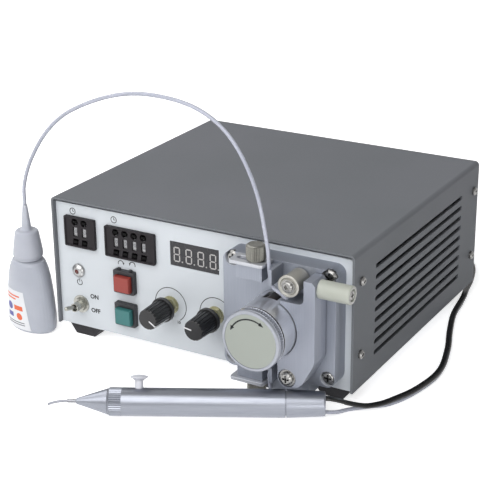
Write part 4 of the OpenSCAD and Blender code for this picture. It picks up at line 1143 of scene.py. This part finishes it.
def makeHandKnob(k):
    x, z = k["centre"]
    knob = turned("rotorKnob", k["steps"], k["sides"])
    knurled(knob, k["sides"], *k["knurl"])
    onFront(smoothed(knob, 28), x, k["backY"], z)
    ridden(dressed(knob, finishes["knobAluminium"]), bodyOf["rotor_knob"], ["rotor_knob"])
    # the hub behind the knurled band is painted black: painted shade of the dark gap between knob and drum
    partly(knob, "keyPlastic", lambda c, n: c.y > k["backY"] - k["hubDepth"]
           and math.hypot(c.x - x, c.z - z) < k["hubRadius"])
    screw = turned("grubScrew", k["screw"], 24)
    screwX, screwZ = around(x, z, k["screwAway"], k["screwTurn"])
    placed(screw, (screwX, k["backY"] - k["screwDepth"], screwZ), (0, 90 - k["screwTurn"], 0))
    ridden(dressed(smoothed(screw, 40), finishes["postSteel"]), bodyOf["rotor_knob"])


makeHandKnob(handKnob)
print("hand knob made")

# Arrow disc on the hand knob

disc = {
    "seatY": -147.1,
    "steps": [(0.01, 16.9), (0.22, 16.95), (0.3, 16.8)],
    "arrowRadius": 13.9,
    "arrowStart": 152,
    "arrowSweep": -92,
    "line": 0.95,
    "head": 1.9,
    "inkHeight": 0.29,
}


def makeDisc(d):
    x, z = handKnob["centre"]
    plate = onFront(turned("arrowDisc", d["steps"], 96), x, d["seatY"], z)
    ridden(dressed(smoothed(plate, 20), finishes["discPaint"]), bodyOf["rotor_knob"])
    pieces = inkArrow(0, 0, d["arrowRadius"], d["arrowStart"], d["arrowSweep"], d["line"], d["head"], True)
    arrow = onFront(joined("discArrow", pieces), x, d["seatY"] - d["inkHeight"], z)
    ridden(dressed(arrow, finishes["inkBlack"]), bodyOf["rotor_knob"])


makeDisc(disc)
print("disc made")

# Bottle label

label = {
    "centre": (-133.2, -98.5),
    "turn": -10,
    "before": 22,
    "low": 2.6,
    "high": 30,
    "left": -13.2,
    "right": 12,
    "slant": 5,
    "lift": 0.12,
    "thickness": 0.1,
    "paper": ("e6e7ea", "dcdde2"),
    "prints": [
        ("bar", (0.12, 0.8, 0.84, 0.88), "e0653a"),
        ("bar", (0.12, 0.62, 0.76, 0.8), "e0653a"),
        ("spot", (0.3, 0.56, 0.1), "4a4b9a"),
        ("bar", (0.5, 0.86, 0.5, 0.62), "e0653a"),
        ("bar", (0.18, 0.42, 0.28, 0.4), "4a4b9a"),
        ("spot", (0.68, 0.34, 0.09), "e0653a"),
        ("lines", (0.12, 0.84, 0.08, 0.2), "55565c"),
    ],
}


def labelFinish(p):
    # the sheet's own width and height run from 0 to 1
    f = Finish("labelPaper")
    uv = f.add("ShaderNodeTexCoord").outputs["UV"]
    u, v = f.add("ShaderNodeSeparateXYZ", {0: uv}).outputs[:2]

    def between(value, low, high):
        return f.sums("MULTIPLY", f.sums("GREATER_THAN", value, low), f.sums("LESS_THAN", value, high))

    def bar(uLow, uHigh, vLow, vHigh):
        return f.sums("MULTIPLY", between(u, uLow, uHigh), between(v, vLow, vHigh))

    def lines(*edges):
        line = between(f.sums("FRACT", f.sums("MULTIPLY", v, 18), 0), 0, 0.4)
        return f.sums("MULTIPLY", bar(*edges), line)

    def spot(uMid, vMid, size):
        du = f.sums("MULTIPLY", f.sums("SUBTRACT", u, uMid), 0.8)
        dv = f.sums("SUBTRACT", v, vMid)
        away = f.sums("SQRT", f.sums("ADD", f.sums("MULTIPLY", du, du), f.sums("MULTIPLY", dv, dv)), 0)
        return f.sums("LESS_THAN", away, size)

    shapes = {"bar": bar, "spot": spot, "lines": lines}
    first, second = (linear(code) for code in p["paper"])
    colour = f.ramp(f.noise(30, 2), [(0.3, first), (0.7, second)])
    for shape, numbers, code in p["prints"]:
        colour = f.mixed(shapes[shape](*numbers), colour, linear(code))
    f.join(colour, f.shader.inputs["Base Color"])
    f.rough(f.noise(300, 2), 0.35, 0.45)
    return f.material


def makeLabel(p):
    # a sheet drawn flat in front of the bottle, then projected on its wall
    bottle = copied(nodes["bottle_body"], "bottleMould")
    wide, high = p["right"] - p["left"], p["high"] - p["low"]
    bpy.ops.object.select_all(action="DESELECT")
    bpy.ops.mesh.primitive_grid_add(x_subdivisions=36, y_subdivisions=28, size=1)
    sheet = named("bottleLabel")
    sheet.scale = (wide * mm, high * mm, 1)
    placed(sheet, (p["left"] + wide / 2, p["low"] + high / 2, 0))
    # its right side leans in towards the top
    for point in sheet.data.vertices:
        across = (point.co.x / mm - p["left"]) / wide
        upwards = (point.co.y / mm - p["low"]) / high
        point.co.x -= across * upwards * p["slant"] * mm
    onFront(sheet, y=-p["before"])
    placed(sheet, (*p["centre"], 0), (0, 0, p["turn"]))
    applied(sheet, "SHRINKWRAP", target=bottle, wrap_method="PROJECT", offset=p["lift"] * mm,
            use_project_x=False, use_project_y=True, use_project_z=False,
            use_negative_direction=True, use_positive_direction=True)
    bpy.data.objects.remove(bottle)
    applied(sheet, "SOLIDIFY", thickness=p["thickness"] * mm, offset=0)
    ridden(dressed(smoothed(sheet, 40), labelFinish(p)), bodyOf["bottle_body"])


makeLabel(label)
print("label laid on")

# Stage

stage = {
    "floorSize": 6.0,
    "floorZ": -0.0002,
    "floorColours": ("f4f4f4", "f0f0f0"),
    "floorLift": 0.7,
    "skyColour": (0.97, 0.98, 1, 1),
    "worldDiffuse": 0.17,
    "ceiling": (0.1, 0.75),
    "overhead": 0.55,
    "aim": (0, 0, 0.05),
    "lights": [
        ("keyLight", (-0.05, -1.15, 1.12), 1.8, 1.3, 22.6),
        ("leftLight", (-1.5, 0.1, 1.5), 1.4, 1.4, 14),
        ("lowLight", (0.52, -0.52, 0.08), 0.3, 0.12, 0.7),
    ],
}


def makeFloor(s):
    bpy.ops.mesh.primitive_plane_add(size=s["floorSize"], location=(0, 0, s["floorZ"]))
    floor = named("floor")
    f = Finish("floorWhite", roughness=0.9, specular=0.1)
    f.coloured(f.noise(3, 2), *s["floorColours"])
    # lifted to white where it is seen, and not where it would light the object
    path = f.add("ShaderNodeLightPath").outputs
    seen = f.sums("MAXIMUM", path["Is Camera Ray"], path["Is Glossy Ray"])
    seen = f.sums("MAXIMUM", seen, path["Is Transmission Ray"])
    f.shader.inputs["Emission Color"].default_value = (1, 1, 1, 1)
    f.join(f.sums("MULTIPLY", seen, s["floorLift"]), f.shader.inputs["Emission Strength"])
    dressed(floor, f.material)


def makeWorld(s):
    world = bpy.data.worlds.new("studio")
    bpy.context.scene.world = world
    w = Wiring(world)
    # mirrors see a white horizon under a darker ceiling
    height = w.add("ShaderNodeSeparateXYZ", {0: w.add("ShaderNodeTexCoord").outputs["Generated"]}).outputs["Z"]
    mirrored = w.add("ShaderNodeBackground", {"Strength": w.spread(height, 1.0, s["overhead"], *s["ceiling"])})
    white = w.add("ShaderNodeBackground", {"Color": (1, 1, 1, 1)})
    sky = w.tree.nodes["Background"]
    sky.inputs["Color"].default_value = s["skyColour"]
    sky.inputs["Strength"].default_value = s["worldDiffuse"]
    ray = w.add("ShaderNodeLightPath").outputs
    clear = w.sums("MAXIMUM", ray["Is Glossy Ray"], ray["Is Transmission Ray"])
    shine = w.add("ShaderNodeMixShader", {0: clear, 1: sky.outputs[0], 2: mirrored.outputs[0]})
    blend = w.add("ShaderNodeMixShader", {0: ray["Is Camera Ray"], 1: shine.outputs[0], 2: white.outputs[0]})
    w.join(blend.outputs[0], w.tree.nodes["World Output"].inputs["Surface"])


def makeLights(s):
    for name, place, width, height, power in s["lights"]:
        bpy.ops.object.light_add(type="AREA", location=place)
        light = bpy.context.object
        light.name = name
        light.data.shape = "RECTANGLE"
        light.data.size = width
        light.data.size_y = height
        light.data.energy = power
        light.visible_camera = False
        light.rotation_euler = (Vector(place) - Vector(s["aim"])).to_track_quat("Z", "Y").to_euler()


bpy.context.scene.view_settings.view_transform = "Standard"
makeFloor(stage)
makeWorld(stage)
makeLights(stage)
print("stage lit")
